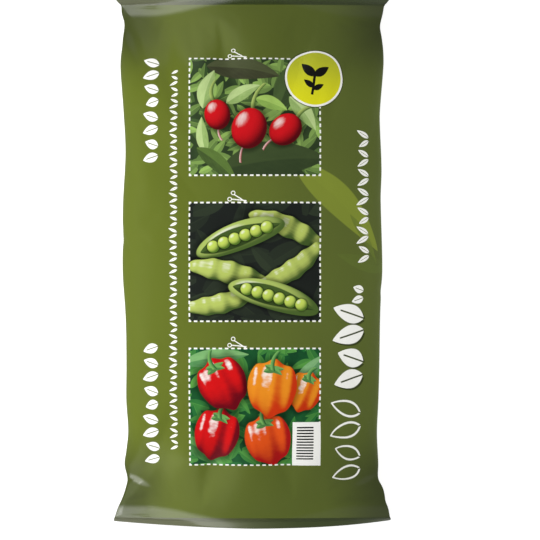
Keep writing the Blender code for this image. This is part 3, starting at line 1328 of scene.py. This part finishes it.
@dataclass
class FrontPrint:
    """What is printed on the film, over an olive ground with painted shade and a painted sheen, as node
    groups that lay one layer over another.
    """

    shapes: PrintShapes
    seals: Pair
    olive: Olive = Olive()
    roundel: Roundel = Roundel()
    label: Label = Label()
    scissors_x: float = -25.0
    scissors_rise: float = 8.2
    row_shadow: Colour = ink(40, 46, 24)
    row_shadow_depth: float = 0.75

    def __post_init__(self) -> None:
        """Makes the groups."""
        self.ground = self.ground_group()
        self.blades = self.blades_group()
        self.rows = self.rows_group()
        self.marks = self.marks_group()

    def ground_group(self) -> Group:
        """Makes the group of the olive ground, with painted shade to the right and in the corners, and of the
        fins, with painted shade that turns to a painted sheen at their left ends.

        Returns:
            The group.
        """
        group = Group("olive ground", POINT_INPUT, Socket.COLOUR)
        w, point, olive = group.wiring, group.given["Point"], self.olive
        x, y = w.split(point)
        mottle = w.times(w.noise(point, olive.mottle_scale), olive.mottle)
        # Painted shade: the ground is darker towards the right.
        colour = w.mix(w.plus(w.fade(x, *olive.sides), mottle), olive.right, olive.left)
        # Painted shade: a darker olive laid over the corners, near the sides and the ends.
        aside, away = w.split(w.vector("ABSOLUTE", point))
        corner = w.times(w.fade(aside, *olive.corner_shade_across), w.fade(away, *olive.corner_shade_along))
        colour = w.mix(w.times(corner, olive.corner_shade_share), colour, olive.corner)
        # Painted sheen: a share that grows towards the left end of each fin, turning the fins' painted shade
        # lighter.
        upper = w.math("GREATER_THAN", y, 0.0)
        left = w.either(
            w.times(w.fade(x, *olive.top_fin_sheen_across), upper),
            w.times(w.fade(x, *olive.bottom_fin_sheen_across), w.rest(upper)),
        )
        weld = w.mix(left, olive.weld, olive.fin_sheen)
        # The fins beyond the seal lines take the painted shade and sheen.
        below, above = self.seals
        welded = w.either(
            w.fade(y, above - olive.fin_shade_before, above + olive.fin_shade_beyond),
            w.fade(y, below + olive.fin_shade_before, below - olive.fin_shade_beyond),
        )
        return group.gives(w.mix(welded, colour, weld))

    def blades_group(self) -> Group:
        """Makes the group of the big pale leaf blades.

        Returns:
            The group.
        """
        group = Group("pale blades", LAYER_INPUTS, Socket.COLOUR)
        w, colour, point = group.wiring, group.given["Under"], group.given["Point"]
        for blade, strength in BLADES:
            colour = w.mix(strength, colour, self.shapes.laid(w, blade, colour, point))
        return group.gives(colour)

    def in_box(self, w: Wiring, point: Feed, low: Pair, high: Pair) -> Wire:
        """Covers an upright box.

        Args:
            w: the wiring of the group it is in.
            point: the point on the print.
            low: the box's lower left corner.
            high: its upper right corner.

        Returns:
            The cover.
        """
        middle = [(a + b) / 2 for a, b in zip(low, high)]
        places = w.split(w.from_point(point, (*middle, 0.0)))
        halves = [(b - a) / 2 for a, b in zip(low, high)]
        return w.times(*(w.within(place, half) for place, half in zip(places, halves)))

    def rows_group(self) -> Group:
        """Makes the group of the leaf rows.

        Returns:
            The group.
        """
        group = Group("leaf rows", LAYER_INPUTS, Socket.COLOUR)
        w, colour, point = group.wiring, group.given["Under"], group.given["Point"]
        for row in LEAF_ROWS:
            colour = self.with_row(w, colour, w.after(point, colour), row)
        return group.gives(colour)

    def marks_group(self) -> Group:
        """Makes the group of the cut lines, scissors, roundel and label.

        Returns:
            The group.
        """
        group = Group("front marks", LAYER_INPUTS, Socket.COLOUR)
        w, colour, point = group.wiring, group.given["Under"], group.given["Point"]
        for picture in PICTURES.values():
            for shape, place in (
                (self.shapes.cut_line, (FRAME.centre_x, picture.centre_y, 0.0)),
                (self.shapes.scissors, (self.scissors_x, picture.top + self.scissors_rise, 0.0)),
            ):
                cover = w.use(shape, point=w.after(point, colour), centre=place)
                colour = w.mix(cover, colour, WHITE)
        colour = self.with_label(w, colour, w.after(point, colour))
        return group.gives(self.with_roundel(w, colour, w.after(point, colour)))

    def with_row(self, w: Wiring, colour: Feed, point: Feed, row: LeafRow) -> Wire:
        """Lays a row of leaves over a colour, with its shadow where it has one.

        Args:
            w: the wiring of the group it is in.
            colour: what lies under the row.
            point: the point on the print.
            row: the row.

        Returns:
            The colour with the row.
        """
        x, y = row.centre
        feeds = {
            "point": point,
            "half_length": row.half_length,
            "half_height": row.half_height,
            "pitch": row.pitch,
            "lean": math.radians(row.lean),
            "fatness": row.fatness,
            "hollow": row.hollow,
        }
        if row.shadow:
            behind = (x + row.shadow, y - row.shadow, 0.0)
            dark = w.use(self.shapes.leaf_row, centre=behind, **feeds)
            colour = w.mix(w.times(dark, self.row_shadow_depth), colour, self.row_shadow)
        return w.mix(w.use(self.shapes.leaf_row, centre=(x, y, 0.0), **feeds), colour, WHITE)

    def with_label(self, w: Wiring, colour: Feed, point: Feed) -> Wire:
        """Lays the white patch and its even bars over a colour.

        Args:
            w: the wiring of the group it is in.
            colour: what lies under the patch.
            point: the point on the print.

        Returns:
            The colour with the patch.
        """
        label = self.label
        colour = w.mix(self.in_box(w, point, label.low, label.high), colour, WHITE)
        _, y = w.split(point)
        low, high = label.bars_low[1], label.bars_high[1]
        bar = w.fade(w.phase(w.times(w.less(y, low), label.bars / (high - low))), *label.bar)
        field = self.in_box(w, point, label.bars_low, label.bars_high)
        return w.mix(w.times(bar, field), colour, BLACK)

    def with_roundel(self, w: Wiring, colour: Feed, point: Feed) -> Wire:
        """Lays the yellow disc with its ring and sprout over a colour.

        Args:
            w: the wiring of the group it is in.
            colour: what lies under the disc.
            point: the point on the print.

        Returns:
            The colour with the disc.
        """
        disc = self.roundel
        away = w.from_point(point, (*disc.centre, 0.0))
        out = w.vector("LENGTH", away)
        _, rise = w.split(away)
        colour = w.mix(w.fade(out, disc.radius + disc.edge_width, disc.radius), colour, disc.edge)
        colour = w.mix(w.within(out, disc.radius), colour, WHITE)
        yellow = w.mix(w.fade(rise, disc.radius, -disc.radius), disc.upper, disc.lower)
        colour = w.mix(w.within(out, disc.radius - disc.ring_width), colour, yellow)
        local = w.turned(away, math.radians(-disc.turn))
        covers = [self.shapes.bar(w, local, *disc.stem, disc.stem_width)]
        for centre, half_size, turn in disc.leaves:
            placed = w.placed(local, (*centre, 0.0), (*half_size, 1.0), math.radians(turn))
            covers.append(self.shapes.leaf_cover(w, *w.split(placed)))
        return w.mix(w.either(*covers), colour, BLACK)

    def with_picture(self, w: Wiring, colour: Feed, point: Feed, picture: Picture) -> Wire:
        """Lays a picture over a colour, up to its cut line.

        Args:
            w: the wiring of the material it is in.
            colour: what lies under the picture.
            point: the point on the print.
            picture: the picture.

        Returns:
            The colour with the picture.
        """
        middle = (FRAME.centre_x, picture.centre_y, 0.0)
        local = w.from_point(w.after(point, colour), middle)
        drawn = w.use(
            self.shapes.foliage,
            point=local,
            leaf_size=picture.leaf_size,
            light=picture.leaf_light,
            deep=picture.leaf_deep,
            gap=picture.gap,
        )
        for motif in picture.motifs:
            drawn = self.shapes.laid(w, motif, drawn, local)
        x, y = FRAME.half_size
        return w.mix(self.in_box(w, local, (-x, -y), (x, y)), colour, drawn)

    def colour(self, w: Wiring, point: Feed, ink_number: Ink) -> Wire:
        """Draws what one ink shows. The back is plain.

        Args:
            w: the ink's wiring.
            point: the point on the print.
            ink_number: which ink.

        Returns:
            The ink's colour.
        """
        colour = w.use(self.ground, point=point)
        if ink_number is Ink.BACK:
            return colour
        colour = w.use(self.blades, under=colour, point=w.after(point, colour))
        if ink_number is Ink.FRONT:
            colour = w.use(self.rows, under=colour, point=w.after(point, colour))
        else:
            colour = self.with_picture(w, colour, point, PICTURES[ink_number])
        return w.use(self.marks, under=colour, point=w.after(point, colour))


@dataclass
class FilmFinish:
    """The film's satin surface: taut and glossy at the seals, and finely crinkled between them.

    The heights are in metres, and the places, widths and fades on the print in millimetres.
    """

    seals: Pair
    gloss: float = 0.09
    smoothest: float = 0.26
    roughest: float = 0.38
    haze_scale: float = 0.02
    haze_detail: float = 3.0
    taut_roughness: float = 0.16
    taut_reach: float = 30.0
    taut_across: Pair = (30.0, 190.0)
    taut_fade: Pair = (-1.0, 12.0)
    crease: Pair = (207.0, -403.0)
    crease_half_size: Pair = (31.0, 9.0)
    crease_fade: Pair = (1.0, 0.3)
    crease_turn: float = 28.0
    crinkle_height: float = 0.0004
    crinkle_scale: float = 0.03
    crinkle_stretch: Triple = (1.0, 0.35, 1.0)
    seal_rib_height: float = 0.0005
    seal_rib_pitch: float = 2.4
    seal_half_width: float = 4.0
    seal_softness: float = 1.0

    def __post_init__(self) -> None:
        """Makes the groups."""
        self.haze = self.haze_group()
        self.tautness = self.tautness_group()
        self.relief = self.relief_group()

    def haze_group(self) -> Group:
        """Makes the group of the film's uneven roughness.

        Returns:
            The group.
        """
        group = Group("film haze", POINT_INPUT, Socket.VALUE)
        w = group.wiring
        haze = w.noise(group.given["Point"], self.haze_scale, self.haze_detail)
        return group.gives(w.plus(w.times(haze, self.roughest - self.smoothest), self.smoothest))

    def tautness_group(self) -> Group:
        """Makes the group of where the film is drawn taut: by the seals and along two creases.

        Returns:
            The group.
        """
        group = Group("film tautness", POINT_INPUT, Socket.VALUE)
        w = group.wiring
        x, y = w.split(group.given["Point"])
        aside = w.size(x)
        reach = w.times(w.fade(aside, *self.taut_across), self.taut_reach)
        below, above = self.seals
        from_seal = w.math("MINIMUM", w.less(above, y), w.less(y, below))
        strip = w.fade(w.less(reach, from_seal), *self.taut_fade)
        centre, half_size = (*self.crease, 0.0), (*self.crease_half_size, 1.0)
        placed = w.placed(w.joined(aside, y), centre, half_size, math.radians(self.crease_turn))
        return group.gives(w.either(strip, w.fade(w.vector("LENGTH", placed), *self.crease_fade)))

    def relief_group(self) -> Group:
        """Makes the group of the fine crinkles and the ribs of the welded seals.

        Returns:
            The group.
        """
        group = Group("film relief", POINT_INPUT, Socket.VALUE)
        w, point = group.wiring, group.given["Point"]
        height = w.noise(w.vector("MULTIPLY", point, self.crinkle_stretch), self.crinkle_scale)
        _, y = w.split(point)
        ribs = w.math("SINE", w.times(y, 2 * math.pi / self.seal_rib_pitch))
        for seal in self.seals:
            off = w.less(y, seal + math.copysign(self.seal_half_width, seal))
            seam = w.within(off, self.seal_half_width, self.seal_softness)
            height = w.plus(height, w.times(seam, ribs, self.seal_rib_height / self.crinkle_height))
        return group.gives(height)

    def dress(self, ink_number: Ink, front: FrontPrint) -> bpy.types.Material:
        """Makes the material of one ink.

        Args:
            ink_number: which ink.
            front: the print.

        Returns:
            The material.
        """
        material = bpy.data.materials.new(f"film_{ink_number.name.lower()}")
        material.use_nodes = True
        w = Wiring(material.node_tree)
        point = w.scaled(w.put("ShaderNodeUVMap", {}, uv_map="film"), PRINT_SCALE)
        surface = {
            "Base Color": front.colour(w, point, ink_number),
            "Specular IOR Level": self.gloss,
            "Roughness": w.use(self.haze, point=point),
            "Coat Weight": w.use(self.tautness, point=point),
            "Coat Roughness": self.taut_roughness,
        }
        relief = w.use(self.relief, point=point)
        bump = {"Strength": 1.0, "Distance": self.crinkle_height, "Height": relief}
        surface["Normal"] = w.put("ShaderNodeBump", bump, "Normal")
        shader = material.node_tree.nodes["Principled BSDF"]
        for name, value in surface.items():
            w.feed(shader.inputs[name], value)
        return material


@dataclass(frozen=True)
class PlacedFilm:
    """A film's points, by row from the bottom cut edge and by column from the left.

    filled holds their places, flat the same as laid flat, and printed their places on the print.
    """

    filled: np.ndarray
    flat: np.ndarray
    printed: np.ndarray


@dataclass
class FilmMesh:
    """The film as a mesh: rows of points from the bottom cut edge to the top one."""

    form: FilledForm
    columns: int = 78
    body_rows: int = 146
    fin_rows: int = 3
    print_middle: float = 0.0028
    rim_margin: float = 0.003
    merge_distance: float = 2e-5
    measured_lines: Triple = (0.0, 0.45, 0.8)
    line_points: int = 1201
    row_points: int = 401

    def rows(self) -> int:
        """How many rows of faces there are."""
        return self.body_rows + 2 * self.fin_rows

    def lengths_along(self, line: np.ndarray) -> np.ndarray:
        """How far along a line of points each of them is."""
        steps = np.linalg.norm(np.diff(line, axis=0), axis=1)
        return np.concatenate([[0.0], np.cumsum(steps)])

    def body_places(self) -> tuple[np.ndarray, np.ndarray]:
        """Spaces the body's rows evenly on the film.

        Returns:
            Where each row lies along the bag, and how far it is from the print's middle.
        """
        y = np.linspace(self.form.bottom_seal, self.form.top_seal, self.line_points)
        lines = (self.form.body(np.full_like(y, u), y, Film.FRONT) for u in self.measured_lines)
        along = np.mean([self.lengths_along(line) for line in lines], axis=0)
        along -= np.interp(self.print_middle, y, along)
        even = np.linspace(along[0], along[-1], self.body_rows + 1)
        return np.interp(even, along, y), even

    def seals(self) -> Pair:
        """Gives the bottom and the top seal's place in the print."""
        _, along = self.body_places()
        return float(along[0]) * PRINT_SCALE, float(along[-1]) * PRINT_SCALE

    def row_across(self, y: float, film: Film) -> tuple[np.ndarray, np.ndarray]:
        """Spaces a body row's points evenly on the film.

        Args:
            y: where the row lies along the bag.
            film: which film.

        Returns:
            The row's points, and how far along the film each is from the centreline.
        """
        u = np.sin(np.linspace(-math.pi / 2, math.pi / 2, self.row_points))
        along = self.lengths_along(self.form.body(u, np.full_like(u, y), film))
        evenly = np.linspace(0.0, along[-1], self.columns + 1)
        even = np.interp(evenly, along, u)
        centre = np.interp(0.0, u, along)
        return self.form.body(even, np.full_like(even, y), film), evenly - centre

    def placed(self, film: Film) -> PlacedFilm:
        """Places every point of a film.

        Args:
            film: which film.

        Returns:
            The film's points by row and column.
        """
        form = self.form
        row_y, row_flat = self.body_places()
        u = np.linspace(-1, 1, self.columns + 1)
        rows = []
        outs = np.arange(self.fin_rows, 0, -1) / self.fin_rows
        for out in outs * form.bottom_fin:
            fin = form.fin(u, -1, np.full_like(u, out), film)
            rows.append((fin, row_flat[0] - out, u * form.half_width))
        for y, flat_y in zip(row_y, row_flat):
            points, from_centre = self.row_across(y, film)
            rows.append((points, flat_y, from_centre))
        for out in outs[::-1] * form.top_fin:
            fin = form.fin(u, 1, np.full_like(u, out), film)
            rows.append((fin, row_flat[-1] + out, u * form.half_width))
        filled, flat_y, printed = (np.array(values) for values in zip(*rows))
        along = flat_y[:, None] * np.ones_like(u)
        flat = np.stack([np.broadcast_to(u * form.half_width, along.shape), along], axis=-1)
        return PlacedFilm(filled, flat, np.stack([printed, along], axis=-1))

    def ink_of(self, corners: np.ndarray) -> Ink:
        """Picks the ink on a face of the front: the front's, or that of the picture it touches.

        Args:
            corners: the places of the face's corners on the print, in millimetres.

        Returns:
            The ink.
        """
        reach = np.array(FRAME.half_size) + FRAME.line_width
        for ink_number, picture in PICTURES.items():
            off = np.abs(corners - (FRAME.centre_x, picture.centre_y)) - reach
            if np.any(np.all(off < 0, axis=1)):
                return ink_number
        return Ink.FRONT

    def map_faces(self, bm: bmesh.types.BMesh, layers: dict, front: PlacedFilm) -> None:
        """Gives each face its ink and its places on the print and on the map for baking.

        The map for baking holds the two films side by side.

        Args:
            bm: the film's mesh.
            layers: its points' numbers by name: row, column and film.
            front: the placed front film.
        """
        rows, columns = self.rows(), self.columns
        film_map = bm.loops.layers.uv.new("film")
        bake_map = bm.loops.layers.uv.new("OFBake")
        span = front.flat[-1, 0, 1] - front.flat[0, 0, 1] + 4 * self.rim_margin
        for face in bm.faces:
            films = {v[layers["film"]] for v in face.verts}
            places = [(v[layers["row"]], v[layers["column"]]) for v in face.verts]
            corners = np.array([front.printed[place] for place in places])
            on_front = films == {Film.FRONT.value}
            face.material_index = (self.ink_of(corners * PRINT_SCALE) if on_front else Ink.BACK).value
            middle = 0.75 if films == {Film.BACK.value} else 0.25
            for loop in face.loops:
                row, column = loop.vert[layers["row"]], loop.vert[layers["column"]]
                loop[film_map].uv = front.printed[row, column]
                x, y = front.flat[row, column]
                if len(films) == 2 and loop.vert[layers["film"]] < 0:
                    x += self.rim_margin * ((column == columns) - (column == 0))
                    y += self.rim_margin * ((row == rows) - (row == 0))
                loop[bake_map].uv = (x / span + middle, y / span + 0.5)

    def build(self) -> bpy.types.Object:
        """Makes the film's mesh, closed at its sides and with two thin fins.

        Returns:
            The film's object.
        """
        rows, columns = self.rows(), self.columns
        bm = bmesh.new()
        bmesh.ops.create_grid(bm, x_segments=columns, y_segments=rows, size=1.0)
        bmesh.ops.solidify(bm, geom=bm.faces[:], thickness=0.5)
        middle = sum(v.co.z for v in bm.verts) / len(bm.verts)
        layers = {name: bm.verts.layers.int.new(name) for name in NUMBERS}
        placed = {film: self.placed(film) for film in Film}
        for v in bm.verts:
            film = Film.FRONT if v.co.z > middle else Film.BACK
            row, column = round((v.co.y + 1) / 2 * rows), round((v.co.x + 1) / 2 * columns)
            for name, number in zip(NUMBERS, (row, column, film.value)):
                v[layers[name]] = number
            v.co = placed[film].filled[row, column]
        self.map_faces(bm, layers, placed[Film.FRONT])
        sides = [
            v
            for v in bm.verts
            if v[layers["column"]] in (0, columns)
            and self.fin_rows <= v[layers["row"]] <= rows - self.fin_rows
        ]
        bmesh.ops.remove_doubles(bm, verts=sides, dist=self.merge_distance)
        bmesh.ops.recalc_face_normals(bm, faces=bm.faces[:])
        mesh = bpy.data.meshes.new("printed_film")
        bm.to_mesh(mesh)
        bm.free()
        mesh.shade_smooth()
        film = bpy.data.objects.new("printed_film", mesh)
        bpy.context.scene.collection.objects.link(film)
        return film


@dataclass
class Settling:
    """The cloth simulation that lets the film's slack buckle over the fill.

    The fields named share are how much of the buckles is kept in a place.
    """

    mesh: FilmMesh
    frames: int = 20
    quality: int = 8
    mass: float = 0.1
    air_damping: float = 2.0
    pressure: float = 3.0
    hold: float = 0.02
    stiffness: float = 40.0
    shear_part: float = 3.0
    bending: float = 0.4
    drift_rows: float = 5.0
    drift_reach: int = 15
    most_move: float = 0.012
    least_size: float = 1e-9
    told_percentile: float = 98.0
    front_share: float = 0.65
    side_share: float = 0.4
    side_width: float = 0.3
    seal_share: float = 0.3
    seal_reach: float = 0.045

    def numbers(self, film: bpy.types.Object) -> dict[str, np.ndarray]:
        """Reads each point's row, column and film.

        Args:
            film: the film's object.

        Returns:
            The three lists of whole numbers by name.
        """
        found = {}
        for name in NUMBERS:
            found[name] = np.zeros(len(film.data.vertices), np.int32)
            film.data.attributes[name].data.foreach_get("value", found[name])
        return found

    def places(self, mesh: bpy.types.Mesh) -> np.ndarray:
        """Reads the places of a mesh's points.

        Args:
            mesh: the mesh.

        Returns:
            The places, one row each.
        """
        values = np.zeros(len(mesh.vertices) * 3)
        mesh.vertices.foreach_get("co", values)
        return values.reshape(-1, 3)

    def tube(self, numbers: dict[str, np.ndarray]) -> np.ndarray:
        """Lays the body out as rows of points round the tube.

        Args:
            numbers: each point's row, column and film.

        Returns:
            The points' indices, by row and by place round the tube.
        """
        columns, fins = self.mesh.columns, self.mesh.fin_rows
        index = np.full((self.mesh.body_rows + 1, 2 * columns), -1)
        back = numbers["film"] < 0
        side = (numbers["column"] == 0) | (numbers["column"] == columns)
        around = np.where(back & ~side, 2 * columns - numbers["column"], numbers["column"])
        row = numbers["row"] - fins
        body = (row >= 0) & (row <= self.mesh.body_rows)
        index[row[body], around[body]] = np.flatnonzero(body)
        return index

    def broad(self, moves: np.ndarray) -> np.ndarray:
        """Takes the broad part out of moves laid out round the tube.

        Args:
            moves: by row, place round the tube and axis.

        Returns:
            The part that changes slowly.
        """
        rows = moves.shape[0]
        broad = np.concatenate([-moves[::-1], moves, -moves[::-1]], axis=0)
        shifts = range(-self.drift_reach, self.drift_reach + 1)
        kernel = np.exp(-((np.array(shifts) / self.drift_rows) ** 2) / 2)
        kernel /= kernel.sum()
        for axis in (0, 1):
            broad = sum(k * np.roll(broad, shift, axis=axis) for k, shift in zip(kernel, shifts))
        return broad[rows : 2 * rows]

    def simulate(self, film: bpy.types.Object, numbers: dict[str, np.ndarray]) -> np.ndarray:
        """Runs the cloth from the filled film, with the flat film as its shape at rest.

        Args:
            film: the film's object.
            numbers: each point's row, column and film.

        Returns:
            Where each point settles.
        """
        flat = self.mesh.placed(Film.FRONT).flat[numbers["row"], numbers["column"]]
        heights = self.mesh.form.fin_thickness / 2 * numbers["film"]
        film.shape_key_add(name="filled")
        laid = film.shape_key_add(name="laid flat")
        laid.data.foreach_set("co", np.column_stack([flat, heights]).ravel())
        body_row = numbers["row"] - self.mesh.fin_rows
        in_fin = (body_row <= 0) | (body_row >= self.mesh.body_rows)
        held = film.vertex_groups.new(name="held")
        held.add(np.flatnonzero(in_fin).tolist(), 1.0, "REPLACE")
        held.add(np.flatnonzero(~in_fin).tolist(), self.hold, "REPLACE")
        blown = film.vertex_groups.new(name="blown")
        blown.add(np.flatnonzero(~in_fin).tolist(), 1.0, "REPLACE")

        cloth = film.modifiers.new("settle", "CLOTH")
        settings = cloth.settings
        settings.quality = self.quality
        settings.mass = self.mass
        settings.air_damping = self.air_damping
        settings.bending_model = "ANGULAR"
        settings.tension_stiffness = self.stiffness
        settings.compression_stiffness = self.stiffness
        settings.shear_stiffness = self.stiffness / self.shear_part
        settings.bending_stiffness = self.bending
        settings.use_pressure = True
        settings.uniform_pressure_force = self.pressure
        settings.vertex_group_pressure = blown.name
        settings.vertex_group_mass = held.name
        settings.pin_stiffness = 1.0
        settings.rest_shape_key = laid
        settings.effector_weights.gravity = 0.0
        cloth.collision_settings.use_collision = False
        cloth.point_cache.frame_start = 1
        cloth.point_cache.frame_end = self.frames
        for number in range(1, self.frames + 1):
            bpy.context.scene.frame_set(number)
        graph = bpy.context.evaluated_depsgraph_get()
        settled = self.places(film.evaluated_get(graph).data)
        film.modifiers.remove(cloth)
        bpy.context.scene.frame_set(1)
        return settled

    def buckles(self, moves: np.ndarray, column: np.ndarray, on_front: np.ndarray) -> np.ndarray:
        """Keeps the small part of the moves, and less of it where the film is drawn taut.

        Args:
            moves: by row, place round the tube and axis.
            column: each point's column.
            on_front: 1 where the point is on the front film, and 0 elsewhere.

        Returns:
            The moves to keep.
        """
        kept = moves - self.broad(moves)
        kept -= kept.mean(axis=0)
        size = np.linalg.norm(kept, axis=-1, keepdims=True)
        log.info("the film moved %.1f mm, buckles %.1f mm", *(
            1000 * np.percentile(np.linalg.norm(m, axis=-1), self.told_percentile)
            for m in (moves, kept)
        ))
        kept *= np.minimum(1.0, self.most_move / np.maximum(size, self.least_size))
        aside = np.abs(2 * column / self.mesh.columns - 1)
        near_side = ease((aside - 1 + self.side_width) / self.side_width)
        kept *= (1 - (1 - self.front_share) * on_front * (1 - near_side))[..., None]
        kept[..., 0] *= 1 - (1 - self.side_share) * near_side
        _, along = self.mesh.body_places()
        from_seal = np.minimum(along - along[0], along[-1] - along)
        calm = self.seal_share + (1 - self.seal_share) * ease(from_seal / self.seal_reach)
        return kept * calm[:, None, None]

    def run(self, film: bpy.types.Object) -> None:
        """Simulates the film and keeps the buckles, without the broad drift.

        Args:
            film: the film's object, whose mesh is changed.
        """
        numbers = self.numbers(film)
        start = self.places(film.data)
        moves = self.simulate(film, numbers) - start
        index = self.tube(numbers)
        final = start.copy()
        final[index] += self.buckles(
            moves[index], numbers["column"][index], numbers["film"][index] > 0
        )
        final[:, 2] = np.maximum(final[:, 2], 0.0)
        film.shape_key_clear()
        film.vertex_groups.clear()
        film.data.vertices.foreach_set("co", final.ravel())
        film.data.update()


@dataclass(frozen=True)
class Softbox:
    """A soft square lamp. One that gleams is only mirrored in the film, and the others only light it."""

    name: str
    place: Triple
    aim: Triple
    size: float
    power: float
    gleams: bool = False

    def build(self) -> None:
        """Makes the lamp, turned to what it lights."""
        light = bpy.data.lights.new(self.name, "AREA")
        light.size = self.size
        light.energy = self.power
        lamp = bpy.data.objects.new(self.name, light)
        lamp.location = self.place
        lamp.visible_camera = False
        lamp.visible_glossy = self.gleams
        lamp.visible_diffuse = not self.gleams
        lamp.rotation_euler = (Vector(self.aim) - lamp.location).to_track_quat("-Z", "Y").to_euler()
        bpy.context.scene.collection.objects.link(lamp)


@dataclass
class Studio:
    """The white table, the lamps and the camera, which looks straight down."""

    aim: Triple = (0.0312, -0.0183, 0.055)
    view_width: float = 0.9504
    lens: float = 300.0
    sensor_width: float = 36.0
    view_depth: float = 50.0
    floor_size: float = 12.0
    floor_glow: float = 0.87
    floor_colour: float = 0.45
    sky: float = 0.25
    lamps: tuple[Softbox, ...] = (
        Softbox("key", (-1.1, 0.0, 0.50), (0.0, 0.0, 0.08), 0.60, 4.6),
        Softbox("overhead", (-0.7, 0.0, 1.25), (0.0, 0.0, 0.08), 0.50, 8.7),
        Softbox("head", (-0.4, 1.0, 0.80), (0.0, 0.35, 0.08), 0.40, 2.4),
        Softbox("foot", (-0.4, -1.0, 0.80), (0.0, -0.35, 0.08), 0.40, 3.4),
        Softbox("fill", (0.95, 0.0, 0.38), (0.15, 0.0, 0.08), 0.40, 2.7),
        Softbox("top gleam", (-0.24, 0.78, 0.24), (-0.165, 0.441, 0.041), 0.34, 1.05, True),
        Softbox("bottom gleam", (-0.24, -0.76, 0.24), (-0.17, -0.447, 0.04), 0.34, 1.05, True),
        Softbox("corner gleam", (-0.42, -0.56, 0.24), (-0.200, -0.390, 0.060), 0.25, 1.0, True),
    )

    def build(self) -> None:
        """Makes everything around the bag."""
        self.camera()
        self.floor()
        for lamp in self.lamps:
            lamp.build()
        world = bpy.data.worlds.new("studio")
        world.use_nodes = True
        background = world.node_tree.nodes["Background"]
        background.inputs["Color"].default_value = LAMP_WHITE
        background.inputs["Strength"].default_value = self.sky
        bpy.context.scene.world = world
        bpy.context.scene.view_settings.view_transform = "Standard"

    def camera(self) -> None:
        """Makes the camera, far off behind a long lens."""
        camera = bpy.data.cameras.new("camera")
        camera.lens = self.lens
        camera.sensor_width = self.sensor_width
        camera.clip_end = self.view_depth
        eye = bpy.data.objects.new("camera", camera)
        distance = self.lens / self.sensor_width * self.view_width
        eye.location = Vector(self.aim) + Vector((0.0, 0.0, distance))
        bpy.context.scene.collection.objects.link(eye)
        bpy.context.scene.camera = eye

    def floor(self) -> None:
        """Makes the white table, lit from below so that shadows on it stay faint."""
        bpy.ops.mesh.primitive_plane_add(size=self.floor_size)
        floor = bpy.context.object
        floor.name = "floor"
        paper = bpy.data.materials.new("floor")
        paper.use_nodes = True
        surface = {
            "Base Color": (*(self.floor_colour,) * 3, 1.0),
            "Roughness": 1.0,
            "Specular IOR Level": 0.0,
            "Emission Color": LAMP_WHITE,
            "Emission Strength": self.floor_glow,
        }
        for name, value in surface.items():
            paper.node_tree.nodes["Principled BSDF"].inputs[name].default_value = value
        floor.data.materials.append(paper)
        floor.visible_glossy = False


def main() -> None:
    """Builds the bag and its studio."""
    logging.basicConfig(level=logging.INFO, format="%(name)s: %(message)s")
    mesh = FilmMesh(FilledForm())
    film = mesh.build()
    log.info("%s: %d faces", film.name, len(film.data.polygons))
    Settling(mesh).run(film)
    finer = film.modifiers.new("finer", "SUBSURF")
    finer.levels = finer.render_levels = 1
    seals = mesh.seals()
    front = FrontPrint(PrintShapes(), seals)
    finish = FilmFinish(seals)
    for ink_number in Ink:
        film.data.materials.append(finish.dress(ink_number, front))
    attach(film, "root")
    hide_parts(BAG_NODE)
    Studio().build()


if __name__ == "__main__":
    main()
